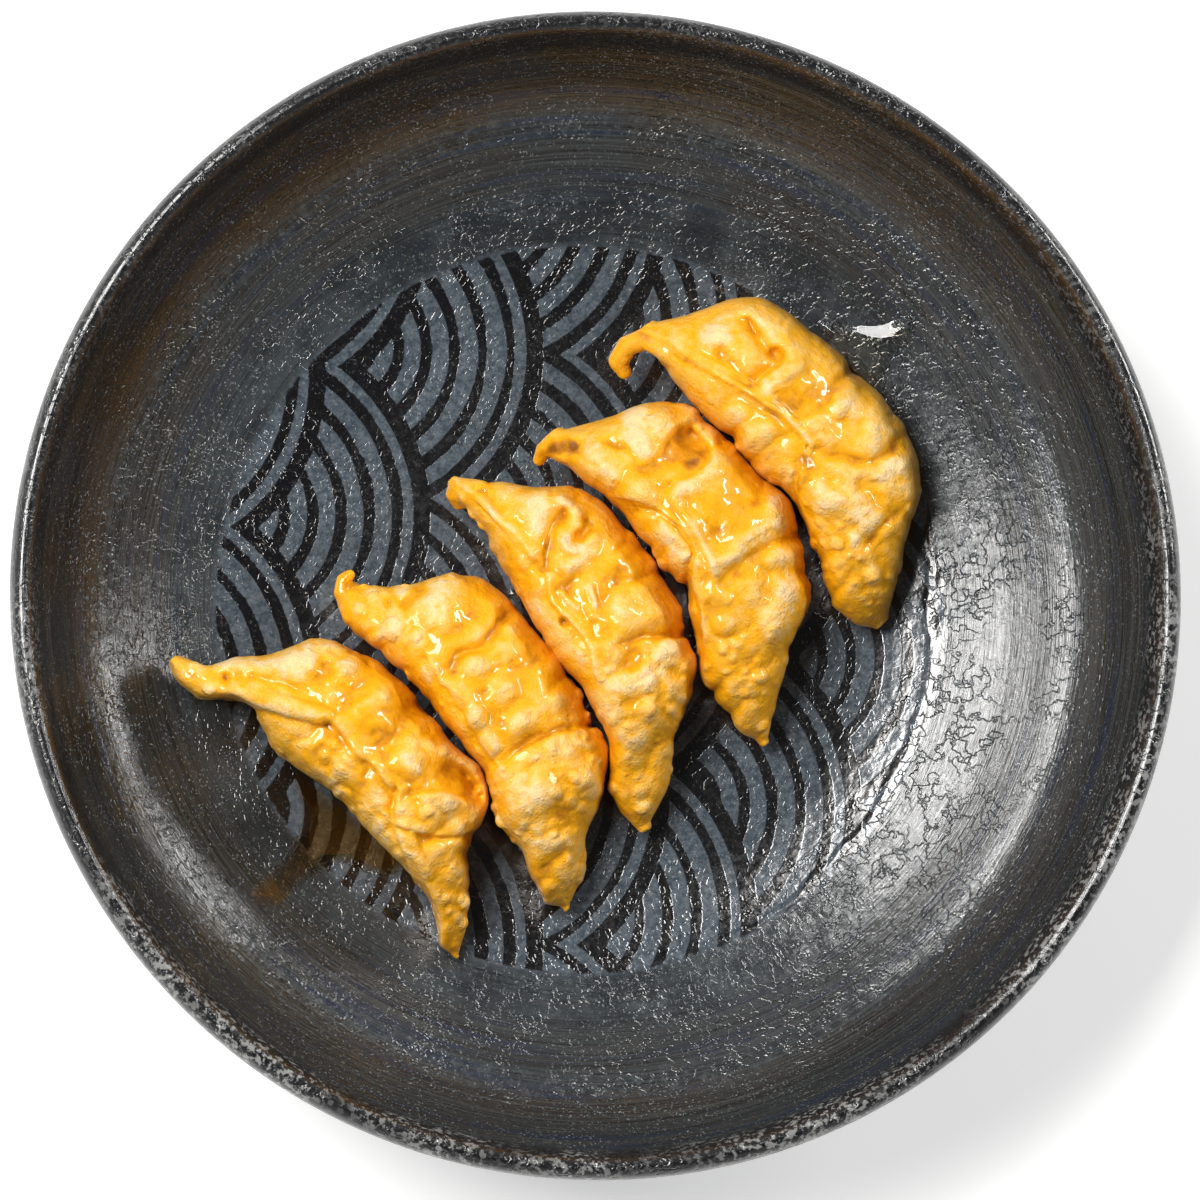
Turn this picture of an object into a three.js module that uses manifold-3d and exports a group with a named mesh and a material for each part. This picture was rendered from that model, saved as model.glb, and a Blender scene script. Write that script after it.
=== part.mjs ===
// Five fried dumplings lying side by side in one deep round plate.
//
// Millimetres, +Z up. The origin is the middle of the plate's base, on the surface it stands on.
// The plate is one turned body with a foot ring, a shallow floor, a steep wall and a rounded lip.
// Each dumpling is a half-moon of folded dough: a body swept from its curled head to its narrow
// tail, with the folds and blisters of the dough raised and pressed into its upper side.

import * as THREE from 'three';
import { mergeVertices } from 'three/addons/utils/BufferGeometryUtils.js';
import Module from 'manifold-3d';

// ---------------------------------------------------------------- driving dimensions

const PLATE = {
  radius: 120,        // outside of the lip
  height: 54,         // top of the lip
  foot: 52,           // outside radius of the foot ring
  footWidth: 5,
  footRecess: 4,      // how far the base is hollowed inside the foot ring
  turns: 72,          // flats round the plate
};

// The plate's inner face, as [radius, height], from the middle of the floor to the lip.
const INNER_FACE = [[0, 9], [35, 9.3], [60, 10.4], [77, 14], [90, 18.5], [100, 24.5], [108, 33.5], [113.5, 44.5]];
const INNER_RADII = [0, 35, 48, 60, 69, 77, 84, 90, 95, 100, 104, 108, 113.5];

// Its outer face, from the foot ring to just under the lip.
const OUTER_FACE = [[53, 5], [66, 6.3], [78.5, 9.2], [92, 13.9], [103.3, 20.8], [112.2, 30.9], [118, 42.5]];
const OUTER_RADII = [53, 66, 78.5, 86, 92, 98, 103.3, 108, 112.2, 115.4, 118];

const GAP = 0.35;            // clear space between the dough and the plate
const STATIONS = 36;         // sections along a dumpling
const UPPER_POINTS = 15;     // points over the top of a section
const LOWER_POINTS = 7;      // points under it, between the two sides
const FINEST = 2.4;          // narrowest fold that the facets can carry

// Each dumpling lies along its own X axis from head to tail, with its flat back towards -Y and its
// pleated front towards +Y. place is its head in the plate, turn the direction it points, and lean
// how far it tips towards its back for each millimetre of height above its belly.
// rows are [along, back edge, front edge, crest, crest height].
// folds are ridges (high > 0) and creases (high < 0) along a path, with their half width.
// domes are round blisters and lobes, as [along, across, radius, height].
// curl is the rolled end of the dough at the head, as [along, across, height, thickness].
const BELLY = 12;

const DUMPLINGS = {
  dumpling_1: {
    place: [4.3, 50.7, 9.4], turn: -45.5, lean: 0.16,
    rows: [
      [0.5, 9, 13, 11, 17], [4, 8.2, 19.5, 12, 20], [8, 7.3, 28, 13, 23], [13, 6.6, 32.6, 14, 26],
      [20, 5.8, 35, 15.5, 28], [28, 7.2, 36.3, 17, 28.5], [36, 6.3, 36.3, 17.5, 28],
      [44, 7.2, 36.5, 16, 27.5], [52, 5.6, 36, 14.5, 27], [58, 3.2, 33.4, 13, 26],
      [65, 0.4, 28, 11, 24], [70, -2.2, 19.5, 8, 20], [75, -2.2, 11.5, 5, 15], [79.5, 0.2, 4.6, 2.4, 8],
    ],
    folds: [
      { path: [[14, 26.5], [19, 26], [24, 26.8], [27, 29]], wide: 1.7, high: -2.6 },
      { path: [[13, 29.5], [20, 31.5], [28, 31], [31, 27], [30, 22]], wide: 3, high: 1.3 },
      { path: [[23, 24], [24.5, 21], [22, 17.5]], wide: 2, high: -1.3 },
      { path: [[34, 33], [35, 27], [35, 22], [33, 20]], wide: 2.6, high: -2.4 },
      { path: [[54, 33], [53, 27], [49.5, 22], [46.5, 16]], wide: 1.8, high: -2.6 },
      { path: [[59, 30], [56, 24], [53, 18]], wide: 4, high: 1.2 },
      { path: [[59, 19.5], [65, 16.5], [69, 11]], wide: 2.6, high: -2 },
      { path: [[3, 11], [12, 12], [20, 14.5], [30, 17], [41, 17.5], [46, 12], [51, 8]], wide: 2, high: 1.2 },
    ],
    domes: [[14, 20, 5, 1.6], [27, 24.5, 4, 1], [42, 28, 5.5, 1.7], [26, 10.5, 3, 0.9], [34, 10.5, 4, 1.2],
      [71, 8.5, 2.4, 1]],
    curl: [[3, -0.2, 12, 1.4], [0.2, 1.4, 13, 1.9], [-0.7, 5, 15, 2], [1, 9, 17, 2.3], [7, 11, 19, 2.8]],
  },
  dumpling_2: {
    place: [-12.1, 30.3, 9.3], turn: -52, lean: 0.13,
    rows: [
      [-0.6, 4.4, 9, 6.5, 16], [3, 3.6, 18.8, 8, 20], [6, 4.6, 27.3, 9.5, 23], [11, 6, 32.4, 11.5, 25.5],
      [17, 6.8, 33.4, 13, 27], [24, 7.7, 35.2, 15, 28], [32, 7.9, 35.8, 16, 28], [40, 8.6, 36.8, 15.5, 28],
      [47, 5, 35.2, 13.5, 27], [53, 2.2, 31.5, 12, 25.5], [59, -0.2, 28.5, 10, 24],
      [64, -0.6, 20, 8, 21], [70, -0.8, 11.8, 5, 16], [77, 0.3, 2.4, 1.3, 8],
    ],
    folds: [
      { path: [[20, 29], [20, 24], [19, 20]], wide: 3.6, high: -3.6 },
      { path: [[12, 31.5], [21, 32], [24, 26], [24, 20]], wide: 2.6, high: 1.3 },
      { path: [[42, 33], [42.3, 27], [43, 20], [45, 16.5]], wide: 2.6, high: 1.5 },
      { path: [[47.5, 34], [46.5, 27], [47, 20]], wide: 2.2, high: -2.6 },
      { path: [[22, 11], [28, 15], [35, 16.5], [44, 16]], wide: 1.8, high: 1.2 },
      { path: [[37, 14.5], [41, 10.5]], wide: 1.4, high: -1.6 },
      { path: [[65, 17], [63, 12], [60, 17]], wide: 2.2, high: -1.6 },
    ],
    domes: [[9, 24, 6, 1.2], [7, 14, 4, 1], [19, 13, 4, 1.4], [34, 24, 7, 0.8], [55, 25, 5, 1.6],
      [52, 9, 4.4, 1.8], [66, 5, 2.5, 1], [73, 4, 2.4, 0.9]],
    curl: [[0.5, 0, 11, 1.2], [-0.7, 2.5, 13, 1.7], [0.2, 6.5, 15.5, 2.4], [4, 9, 18, 3]],
  },
  dumpling_3: {
    place: [-30.5, 22.9, 9.2], turn: -60, lean: 0.11,
    rows: [
      [-1.2, 1, 3.4, 2.2, 14], [3, 1.4, 9.6, 5, 18], [8, 2.4, 16, 7.5, 21], [13, 3.1, 25, 9, 24],
      [20, 2.4, 28.4, 10, 26], [28, 2.8, 29.8, 11, 27], [36, 2.2, 31, 11.5, 27.5],
      [44, 3.2, 30.8, 11, 27.5], [51, 4.8, 29.5, 11, 27], [58, 4.6, 26.8, 10, 26],
      [65, 2.2, 20.5, 8.5, 23], [71, -1.2, 13.7, 5.5, 18], [77, -2, 9, 3, 14], [81.5, -0.6, 2, 0.8, 8],
    ],
    folds: [
      { path: [[17, 20.5], [18.5, 16.5], [21, 13.5], [24, 11]], wide: 1.7, high: -2.8 },
      { path: [[17, 22.5], [21, 22.5], [25, 19.5], [22.5, 16.5]], wide: 2, high: 1.4 },
      { path: [[23.5, 25], [24.5, 21.5]], wide: 1.6, high: -1.8 },
      { path: [[31, 29], [33.5, 23], [36.5, 17]], wide: 2.8, high: -2 },
      { path: [[51, 29], [49.5, 22], [47, 17]], wide: 1.8, high: -2.6 },
      { path: [[50.5, 16.5], [49, 14]], wide: 3, high: -2.4 },
      { path: [[54.5, 26], [55, 20], [53.5, 12]], wide: 4, high: 1.4 },
      { path: [[66, 13.5], [70, 9], [72, 5]], wide: 2.2, high: -1.6 },
      { path: [[4, 5.5], [12, 6.5], [25, 9.5], [36, 10.5], [46, 10]], wide: 2, high: 1.1 },
    ],
    domes: [[26.5, 15, 3.4, 1.4], [41, 23, 6, 1.2], [61, 15.5, 3, 1.3], [79, 3, 3, 1], [8, 4, 2.2, 0.9]],
    curl: [[3, -0.2, 10.5, 1.2], [0.4, 0.6, 12.5, 1.8], [0.4, 3, 14, 2.1], [4, 6, 17, 2.8]],
  },
  dumpling_4: {
    place: [-52.8, 3, 9.2], turn: -55.5, lean: 0.09,
    rows: [
      [0, -0.6, 2.6, 1, 15], [4, -3, 6, 1.5, 18], [8, -3.3, 11.5, 3, 21], [11, -2.7, 20.8, 4.5, 23],
      [16, -1, 25.4, 6.5, 25.5], [23, 0.5, 27.7, 8.5, 27], [31, 1.4, 28.4, 9, 28], [39, 1.8, 29, 9, 28],
      [47, 2.9, 28.5, 8.5, 27.5], [54, 1.2, 27.6, 8, 27], [61, -0.5, 26, 7, 26], [67, 0, 20.5, 5.5, 23],
      [74, -2.1, 11.5, 3, 18], [79, -2, 7.5, 1.5, 13], [82.5, 0, 2, 1, 8],
    ],
    folds: [
      { path: [[25, 26], [27, 20], [28, 16.5], [26.5, 14], [27, 10.5]], wide: 1.7, high: -2.4 },
      { path: [[12, 10], [11, 14]], wide: 2.2, high: -1.8 },
      { path: [[38, 25], [38.5, 19]], wide: 2.6, high: -1 },
      { path: [[54, 26.5], [51, 22], [50, 16], [50.5, 10]], wide: 1.9, high: -2.6 },
      { path: [[57.5, 24], [56, 16], [57, 8]], wide: 4.5, high: 1.3 },
      { path: [[64, 14], [67, 10]], wide: 3.4, high: -2 },
      { path: [[73, 1.5], [72, 6.5]], wide: 1.5, high: -1.4 },
      { path: [[30, 8.5], [38, 7.5], [46, 6.5]], wide: 1.8, high: 1 },
      { path: [[33, 5.6], [40, 4.8], [46, 4.8]], wide: 1.4, high: -1.2 },
    ],
    domes: [[17, 15.5, 6, 2.2], [14.5, 3.5, 3.4, 1.6], [18.5, 8, 2.8, 1.2], [9, 10.5, 2.2, 0.9],
      [34, 15, 5, 1], [44, 16, 5, 0.9], [60.5, 0.6, 2.2, 1.2], [77, 2.5, 3, 0.9]],
    curl: [[-1.2, 3.2, 17, 1], [-0.8, 1.4, 16, 1.6], [1.4, -0.4, 15.5, 2], [6, 0, 16, 3]],
  },
  dumpling_5: {
    place: [-86.7, -15.4, 11.5], turn: -46, lean: 0.06,
    rows: [
      [-1, 0.4, 2.5, 1.4, 17.5], [3, -0.7, 4.8, 2, 20], [7, -0.7, 11.3, 4, 21.5], [11, 2.6, 17.2, 7.5, 23],
      [15, 6, 25, 11, 25], [20, 4.9, 28.3, 13, 26.5], [26, 3.4, 31, 14.5, 27.5], [34, 4.5, 32.4, 15.5, 27.5],
      [43, 5.7, 32, 15, 27], [51, 5.5, 30.7, 14, 26.5], [58, 5.4, 30.4, 12.5, 25.5], [64, 6, 27, 11, 23],
      [70, 5, 17, 9, 19], [76, 3, 11, 6, 14.5], [80, 0, 7, 3, 10.5], [83.3, 0.1, 1.6, 0.8, 7],
    ],
    folds: [
      { path: [[10, 6.5], [15, 10], [22, 12.2], [28, 15], [33, 17]], wide: 2.4, high: 1.9 },
      { path: [[12, 3.5], [15, 6.4], [20, 8.6], [26, 12], [29.5, 15]], wide: 1.5, high: -1.6 },
      { path: [[7, 6], [12, 11], [17, 14.5]], wide: 1.5, high: -1.4 },
      { path: [[41, 31.5], [41, 26], [43, 23]], wide: 2.4, high: -2.4 },
      { path: [[53, 27], [58, 28.6], [61.5, 27]], wide: 2.4, high: -3.4 },
      { path: [[52, 20], [57, 24], [63, 24]], wide: 2.6, high: 1.4 },
      { path: [[50, 16], [55, 12.4], [61, 15.5], [64, 18]], wide: 1.5, high: -2 },
      { path: [[57, 13], [63, 9.5], [70, 8], [77, 4]], wide: 2.6, high: 1.2 },
      { path: [[30, 16], [38, 16], [44, 16], [50, 15]], wide: 1.6, high: 1 },
    ],
    domes: [[17, 21, 4.5, 1.4], [25, 24, 4, 1], [36, 24, 4, 1], [46, 25.5, 4.5, 1.3], [60, 20.5, 4.5, 1.6],
      [73, 10.5, 3, 1.2], [79.5, 7, 2, 1]],
    curl: [[-0.4, 1.6, 17, 1.4], [3, 2.4, 18, 2.2], [8, 4, 19, 2.8]],
  },
};

// ---------------------------------------------------------------- small helpers

const smooth = (t) => t * t * (3 - 2 * t);
const clamp = (value, low, high) => Math.min(high, Math.max(low, value));

// Reads a table of rows at a place between them, on a smooth curve that doesn't overshoot.
function between(rows, x, column) {
  const last = rows.length - 1;
  let i = 0;
  while (i < last - 1 && rows[i + 1][0] < x) i += 1;
  const step = rows[i + 1][0] - rows[i][0];
  const t = clamp((x - rows[i][0]) / step, 0, 1);
  const rise = (k) => (rows[k + 1][column] - rows[k][column]) / (rows[k + 1][0] - rows[k][0]);
  const slope = (k) => {
    if (k === 0 || k === last) return rise(k === 0 ? 0 : last - 1);
    const a = rise(k - 1);
    const b = rise(k);
    return a * b <= 0 ? 0 : (2 * a * b) / (a + b);
  };
  const t2 = t * t;
  const t3 = t2 * t;
  return (2 * t3 - 3 * t2 + 1) * rows[i][column] + (t3 - 2 * t2 + t) * step * slope(i)
    + (3 * t2 - 2 * t3) * rows[i + 1][column] + (t3 - t2) * step * slope(i + 1);
}

// Distance on the level from a point to a path of straight stretches.
function distanceTo(path, x, y) {
  let nearest = Infinity;
  for (let i = 0; i + 1 < path.length; i += 1) {
    const [ax, ay] = path[i];
    const [bx, by] = path[i + 1];
    const length2 = (bx - ax) ** 2 + (by - ay) ** 2;
    const t = clamp(((x - ax) * (bx - ax) + (y - ay) * (by - ay)) / length2, 0, 1);
    nearest = Math.min(nearest, Math.hypot(x - ax - t * (bx - ax), y - ay - t * (by - ay)));
  }
  return nearest;
}

// A closed mesh from rings of points, with a point to close each end.
function loft(rings, start, end) {
  const around = rings[0].length;
  const points = [...rings.flat(), start, end];
  const faces = [];
  for (let i = 0; i + 1 < rings.length; i += 1) {
    for (let j = 0; j < around; j += 1) {
      const a = i * around + j;
      const b = i * around + ((j + 1) % around);
      faces.push(a, b, b + around, a, b + around, a + around);
    }
  }
  const tail = (rings.length - 1) * around;
  for (let j = 0; j < around; j += 1) {
    const next = (j + 1) % around;
    faces.push(points.length - 2, next, j);
    faces.push(points.length - 1, tail + j, tail + next);
  }
  const geometry = new THREE.BufferGeometry();
  geometry.setAttribute('position', new THREE.Float32BufferAttribute(points.flatMap((p) => [p.x, p.y, p.z]), 3));
  geometry.setIndex(faces);
  return geometry;
}

const wasm = await Module();
wasm.setup();

function solid(geometry) {
  const merged = mergeVertices(geometry);
  return new wasm.Manifold(new wasm.Mesh({
    numProp: 3,
    vertProperties: new Float32Array(merged.getAttribute('position').array),
    triVerts: new Uint32Array(merged.getIndex().array),
  }));
}

function surface(body) {
  const mesh = body.getMesh();
  const geometry = new THREE.BufferGeometry();
  geometry.setAttribute('position', new THREE.BufferAttribute(new Float32Array(mesh.vertProperties), 3));
  geometry.setIndex(new THREE.BufferAttribute(new Uint32Array(mesh.triVerts), 1));
  geometry.computeVertexNormals();
  return geometry;
}

// ---------------------------------------------------------------- the plate

const sample = (rows, radii) => radii.map((r) => [r, between(rows, r, 1)]);

function plateGeometry() {
  const { radius, height, foot, footWidth, footRecess, turns } = PLATE;
  const lip = INNER_FACE.at(-1);
  const footRing = [[0, footRecess], [foot - footWidth, footRecess], [foot - footWidth, 0], [foot, 0]];
  const bead = [
    [radius, height - 4.5], [radius - 0.8, height - 1.4], [radius - 2.6, height],
    [radius - 4.6, height - 1], [lip[0] + 0.6, height - 5.5],
  ];
  const inside = sample(INNER_FACE, INNER_RADII).reverse();
  const profile = [...footRing, ...sample(OUTER_FACE, OUTER_RADII), ...bead, ...inside];
  const geometry = new THREE.LatheGeometry(profile.map(([r, z]) => new THREE.Vector2(r, z)), turns);
  geometry.rotateX(Math.PI / 2);
  geometry.deleteAttribute('normal');
  geometry.deleteAttribute('uv');
  return surface(solid(geometry));
}

// Height of the plate's faceted inner face at a distance from its middle.
function plateFloor(radius) {
  const rows = sample(INNER_FACE, INNER_RADII);
  const i = rows.findIndex(([r]) => r > radius);
  if (i < 0) return rows.at(-1)[1];
  const [[r0, z0], [r1, z1]] = [rows[i - 1], rows[i]];
  return z0 + ((z1 - z0) * (radius - r0)) / (r1 - r0);
}

// ---------------------------------------------------------------- the dumplings

// How far the dough stands above its plain dome at a point.
function relief(shape, x, y) {
  let rise = 0;
  for (const { path, wide, high } of shape.folds) {
    const reach = Math.max(wide, FINEST);
    rise += high * (wide / reach) * Math.exp(-((distanceTo(path, x, y) / reach) ** 2));
  }
  for (const [along, across, radius, high] of shape.domes) {
    const reach = Math.max(radius, FINEST) * 0.75;
    rise += high * Math.exp(-(((x - along) ** 2 + (y - across) ** 2) / reach ** 2));
  }
  return rise;
}

// Leans a point towards the dumpling's back and keeps it clear of the plate under it.
function settle(shape, x, y, z) {
  const leaned = y - shape.lean * (z - BELLY);
  const turn = THREE.MathUtils.degToRad(shape.turn);
  const plateX = shape.place[0] + x * Math.cos(turn) - leaned * Math.sin(turn);
  const plateY = shape.place[1] + x * Math.sin(turn) + leaned * Math.cos(turn);
  const lowest = plateFloor(Math.hypot(plateX, plateY)) + GAP - shape.place[2];
  return new THREE.Vector3(x, leaned, Math.max(z, lowest));
}

function section(shape, x) {
  const rows = shape.rows;
  const back = between(rows, x, 1);
  const front = between(rows, x, 2);
  const crest = between(rows, x, 3);
  const top = between(rows, x, 4);
  const head = smooth(clamp(1 - (x - rows[0][0]) / 20, 0, 1));
  const tail = smooth(clamp(1 - (rows[rows.length - 1][0] - x) / 12, 0, 1));
  const bottom = 10.5 * head + 3.5 * tail;
  const widest = bottom + (top - bottom) * 0.36;
  const ring = [];
  for (let i = 0; i < UPPER_POINTS; i += 1) {
    const angle = (Math.PI * i) / (UPPER_POINTS - 1);
    const out = Math.sign(Math.cos(angle)) * Math.abs(Math.cos(angle)) ** 0.85;
    const up = Math.sin(angle) ** 0.85;
    const y = crest + out * (out > 0 ? front - crest : crest - back);
    const z = widest + (top - widest) * up;
    const rise = relief(shape, x, y);
    ring.push(settle(shape, x, y + out * rise * 0.35, z + rise * Math.sin(angle)));
  }
  for (let i = 1; i <= LOWER_POINTS; i += 1) {
    const angle = Math.PI * (1 + i / (LOWER_POINTS + 1));
    const out = Math.sign(Math.cos(angle)) * Math.abs(Math.cos(angle)) ** 0.6;
    const y = crest + out * (out > 0 ? front - crest : crest - back);
    ring.push(settle(shape, x, y, widest - (widest - bottom) * Math.abs(Math.sin(angle)) ** 0.55));
  }
  return ring;
}

const middle = (ring) => ring.reduce((sum, p) => sum.add(p), new THREE.Vector3()).divideScalar(ring.length);

function curlGeometry(shape) {
  const sides = 8;
  const centres = shape.curl.map(([x, y, z]) => settle(shape, x, y, z));
  const route = new THREE.CatmullRomCurve3(centres);
  const steps = 7;
  const rings = [];
  for (let i = 0; i <= steps; i += 1) {
    const along = i / steps;
    const centre = route.getPoint(along);
    const ahead = route.getTangent(along);
    const side = new THREE.Vector3(0, 0, 1).cross(ahead).normalize();
    const up = ahead.clone().cross(side);
    const place = along * (shape.curl.length - 1);
    const k = Math.min(Math.floor(place), shape.curl.length - 2);
    const thick = THREE.MathUtils.lerp(shape.curl[k][3], shape.curl[k + 1][3], place - k);
    rings.push(Array.from({ length: sides }, (_, j) => {
      const angle = (2 * Math.PI * j) / sides;
      return centre.clone().addScaledVector(side, thick * Math.cos(angle))
        .addScaledVector(up, thick * Math.sin(angle));
    }));
  }
  return loft(rings, middle(rings[0]), middle(rings[steps]));
}

function dumplingGeometry(shape) {
  const start = shape.rows[0][0];
  const end = shape.rows[shape.rows.length - 1][0];
  const rings = Array.from({ length: STATIONS }, (_, i) => {
    const even = i / (STATIONS - 1);
    const eased = 0.5 - 0.5 * Math.cos(Math.PI * even);
    return section(shape, start + (end - start) * (0.6 * even + 0.4 * eased));
  });
  const body = loft(rings, middle(rings[0]), middle(rings[STATIONS - 1]));
  return surface(solid(body).add(solid(curlGeometry(shape))));
}

// ---------------------------------------------------------------- assembly

function piece(name, geometry, color, roughness) {
  const material = new THREE.MeshStandardMaterial({ color, roughness, metalness: 0 });
  const mesh = new THREE.Mesh(geometry, material);
  mesh.name = name;
  return mesh;
}

const serving = new THREE.Group();
serving.name = 'dumplings_on_plate';
serving.add(piece('plate', plateGeometry(), '#3a3f46', 0.3));

for (const [name, shape] of Object.entries(DUMPLINGS)) {
  const mesh = piece(name, dumplingGeometry(shape), '#f2b23c', 0.35);
  mesh.position.set(...shape.place);
  mesh.rotation.z = THREE.MathUtils.degToRad(shape.turn);
  serving.add(mesh);
}

export default serving;
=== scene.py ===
# %% [markdown]
# # Five fried dumplings in a deep glazed plate
#
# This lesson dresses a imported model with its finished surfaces. The model has six solids: a turned
# stoneware plate and five half-moon dumplings of folded dough. The first cell loads it as a frame
# that is never moved. Every piece made here stands in the place of one of its solids, or lies on one.
#
# Sizes are in millimetres unless a line says otherwise, and `MM` turns them into Blender's metres.

# %% Load the frame
import itertools
import math

import bpy
import numpy as np
from mathutils import Matrix, Vector


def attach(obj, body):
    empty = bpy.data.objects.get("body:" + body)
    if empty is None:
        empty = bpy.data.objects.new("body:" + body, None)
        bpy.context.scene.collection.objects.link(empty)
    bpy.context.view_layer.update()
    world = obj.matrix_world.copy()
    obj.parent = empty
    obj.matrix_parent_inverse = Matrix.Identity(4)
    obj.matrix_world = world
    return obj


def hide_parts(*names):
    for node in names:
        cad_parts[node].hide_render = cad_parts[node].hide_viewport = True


MM = 0.001

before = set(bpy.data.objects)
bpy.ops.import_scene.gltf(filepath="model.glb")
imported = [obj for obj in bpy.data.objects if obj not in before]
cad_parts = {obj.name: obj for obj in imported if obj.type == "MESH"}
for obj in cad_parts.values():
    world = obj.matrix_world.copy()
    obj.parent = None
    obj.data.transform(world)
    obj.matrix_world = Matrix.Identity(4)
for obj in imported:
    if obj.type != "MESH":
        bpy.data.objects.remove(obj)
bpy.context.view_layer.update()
print("solids:", sorted(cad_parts))

# %% [markdown]
# ## Camera
#
# Food on a plate is often shown from straight above. Here the camera hangs almost a metre over the
# plate and a little to its front left, with a long lens, so that the round plate stays nearly round.
# A constraint could turn it towards the plate. Three directions put into a matrix do the same, and
# say exactly which way is up in its view.

# %% Camera
CAMERA_PLACE = Vector((-0.06196, -0.08082, 0.9425))     # metres
CAMERA_AIM = Vector((-0.00039, -0.00258, 0.054))
LENS = 132
SENSOR = 36

camera_data = bpy.data.cameras.new("camera")
camera_data.lens = LENS
camera_data.sensor_width = SENSOR
camera = bpy.data.objects.new("camera", camera_data)
bpy.context.scene.collection.objects.link(camera)
forward = (CAMERA_AIM - CAMERA_PLACE).normalized()
right = forward.cross(Vector((0, 1, 0))).normalized()
upward = right.cross(forward)
turn = Matrix((right, upward, -forward)).transposed()
camera.matrix_world = Matrix.Translation(CAMERA_PLACE) @ turn.to_4x4()
bpy.context.scene.camera = camera
print("camera is", round((CAMERA_PLACE - CAMERA_AIM).length, 3), "m from the plate")

# %% [markdown]
# ## Building trees from nodes
#
# The light of the room, the finishes and the turned plate are all trees of nodes. A tree can be drawn
# by hand in the editor, but a written one can be read, repeated and changed by its numbers. These
# helpers keep the trees short: they add a node and fill its inputs, do arithmetic on numbers and
# vectors, blend colours, spread a value over a new range, and start a material.

# %% Node helpers
def add_node(tree, kind, inputs=None, **settings):
    node = tree.nodes.new(kind)
    for name, value in settings.items():
        setattr(node, name, value)
    for name, value in (inputs or {}).items():
        if isinstance(value, bpy.types.NodeSocket):
            tree.links.new(value, node.inputs[name])
        else:
            node.inputs[name].default_value = value
    return node


def calc(tree, operation, *values):
    return add_node(tree, "ShaderNodeMath", dict(enumerate(values)), operation=operation).outputs[0]


def vector_calc(tree, operation, first, second=None):
    """Arithmetic on vectors. A length or a dot product comes out as one number."""
    inputs = {0: first}
    if second is not None:
        inputs["Scale" if operation == "SCALE" else 1] = second
    node = add_node(tree, "ShaderNodeVectorMath", inputs, operation=operation)
    return node.outputs["Value" if operation in ("LENGTH", "DOT_PRODUCT") else "Vector"]


def blend_colour(tree, factor, first, second):
    """Each colour is a socket or (red, green, blue)."""
    inputs = {"Factor": factor}
    for name, colour in ((6, first), (7, second)):
        inputs[name] = (*colour, 1) if isinstance(colour, tuple) else colour
    return add_node(tree, "ShaderNodeMix", inputs, data_type="RGBA").outputs[2]


def spread(tree, value, low, high, out_low=0.0, out_high=1.0, soft=True):
    """Takes low..high to out_low..out_high, in a soft S or a straight line."""
    inputs = {"Value": value, "From Min": low, "From Max": high, "To Min": out_low, "To Max": out_high}
    kind = "SMOOTHSTEP" if soft else "LINEAR"
    return add_node(tree, "ShaderNodeMapRange", inputs, interpolation_type=kind).outputs["Result"]


def noise(tree, place, scale, detail=3.0, roughness=0.55):
    inputs = {"Vector": place, "Scale": scale, "Detail": detail, "Roughness": roughness}
    return add_node(tree, "ShaderNodeTexNoise", inputs).outputs["Fac"]


def start_material(name):
    """A new material, its tree, its shader, and the place on the piece in millimetres."""
    material = bpy.data.materials.new(name)
    material.use_nodes = True
    tree = material.node_tree
    place = add_node(tree, "ShaderNodeTexCoord").outputs["Object"]
    local = vector_calc(tree, "SCALE", place, 1 / MM)
    return material, tree, tree.nodes["Principled BSDF"], local


print("node helpers ready")

# %% [markdown]
# ## Light
#
# A large soft box stands to the upper left and lays one broad soft glare on the far side of the
# glaze. A weaker one stands low on the right and draws a thin bright band on the left wall. Point
# lamps or a sun would light the dough as well, but a glaze mirrors its lamps, and only a lamp with a
# size gives a soft glare.

# %% Lights
def soft_box(name, azimuth, elevation, distance, width, height, power, tint):
    """A rectangular lamp that faces the plate: angles in degrees, sizes in metres, power in watts."""
    data = bpy.data.lights.new(name, "AREA")
    data.shape = "RECTANGLE"
    data.size = width
    data.size_y = height
    data.energy = power
    data.color = tint
    lamp = bpy.data.objects.new(name, data)
    around = math.radians(azimuth)
    up = math.radians(elevation)
    level = distance * math.cos(up)
    place = Vector((level * math.cos(around), level * math.sin(around), distance * math.sin(up)))
    lamp.matrix_world = Matrix.Translation(place) @ place.to_track_quat("Z", "Y").to_matrix().to_4x4()
    bpy.context.scene.collection.objects.link(lamp)


soft_box("key_light", azimuth=152, elevation=60, distance=0.95, width=0.52, height=0.34,
         power=10.9, tint=(1.0, 0.985, 0.96))
soft_box("side_light", azimuth=27, elevation=27, distance=0.9, width=0.5, height=0.08,
         power=3.8, tint=(1.0, 0.99, 0.97))

# %% [markdown]
# ## The room round it
#
# A glossy glaze shows the room that it stands in. An image of a real room could be wrapped round the
# scene, but the room wanted here is plain: pale walls, brighter on the side of the large soft box,
# under a dark ceiling. Two short sums of the direction give just that.

# %% Room
HORIZON_LIGHT = 0.44
ZENITH_LIGHT = 0.06
FADE_HEIGHTS = (0.35, 0.85)         # where the walls begin and end to darken, as the sine of the elevation
BRIGHT_SIDE = (-0.95, -0.2, 0)
SIDE_CONTRAST = 0.33
ROOM_TINT = (0.97, 0.98, 1.0, 1)

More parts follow.
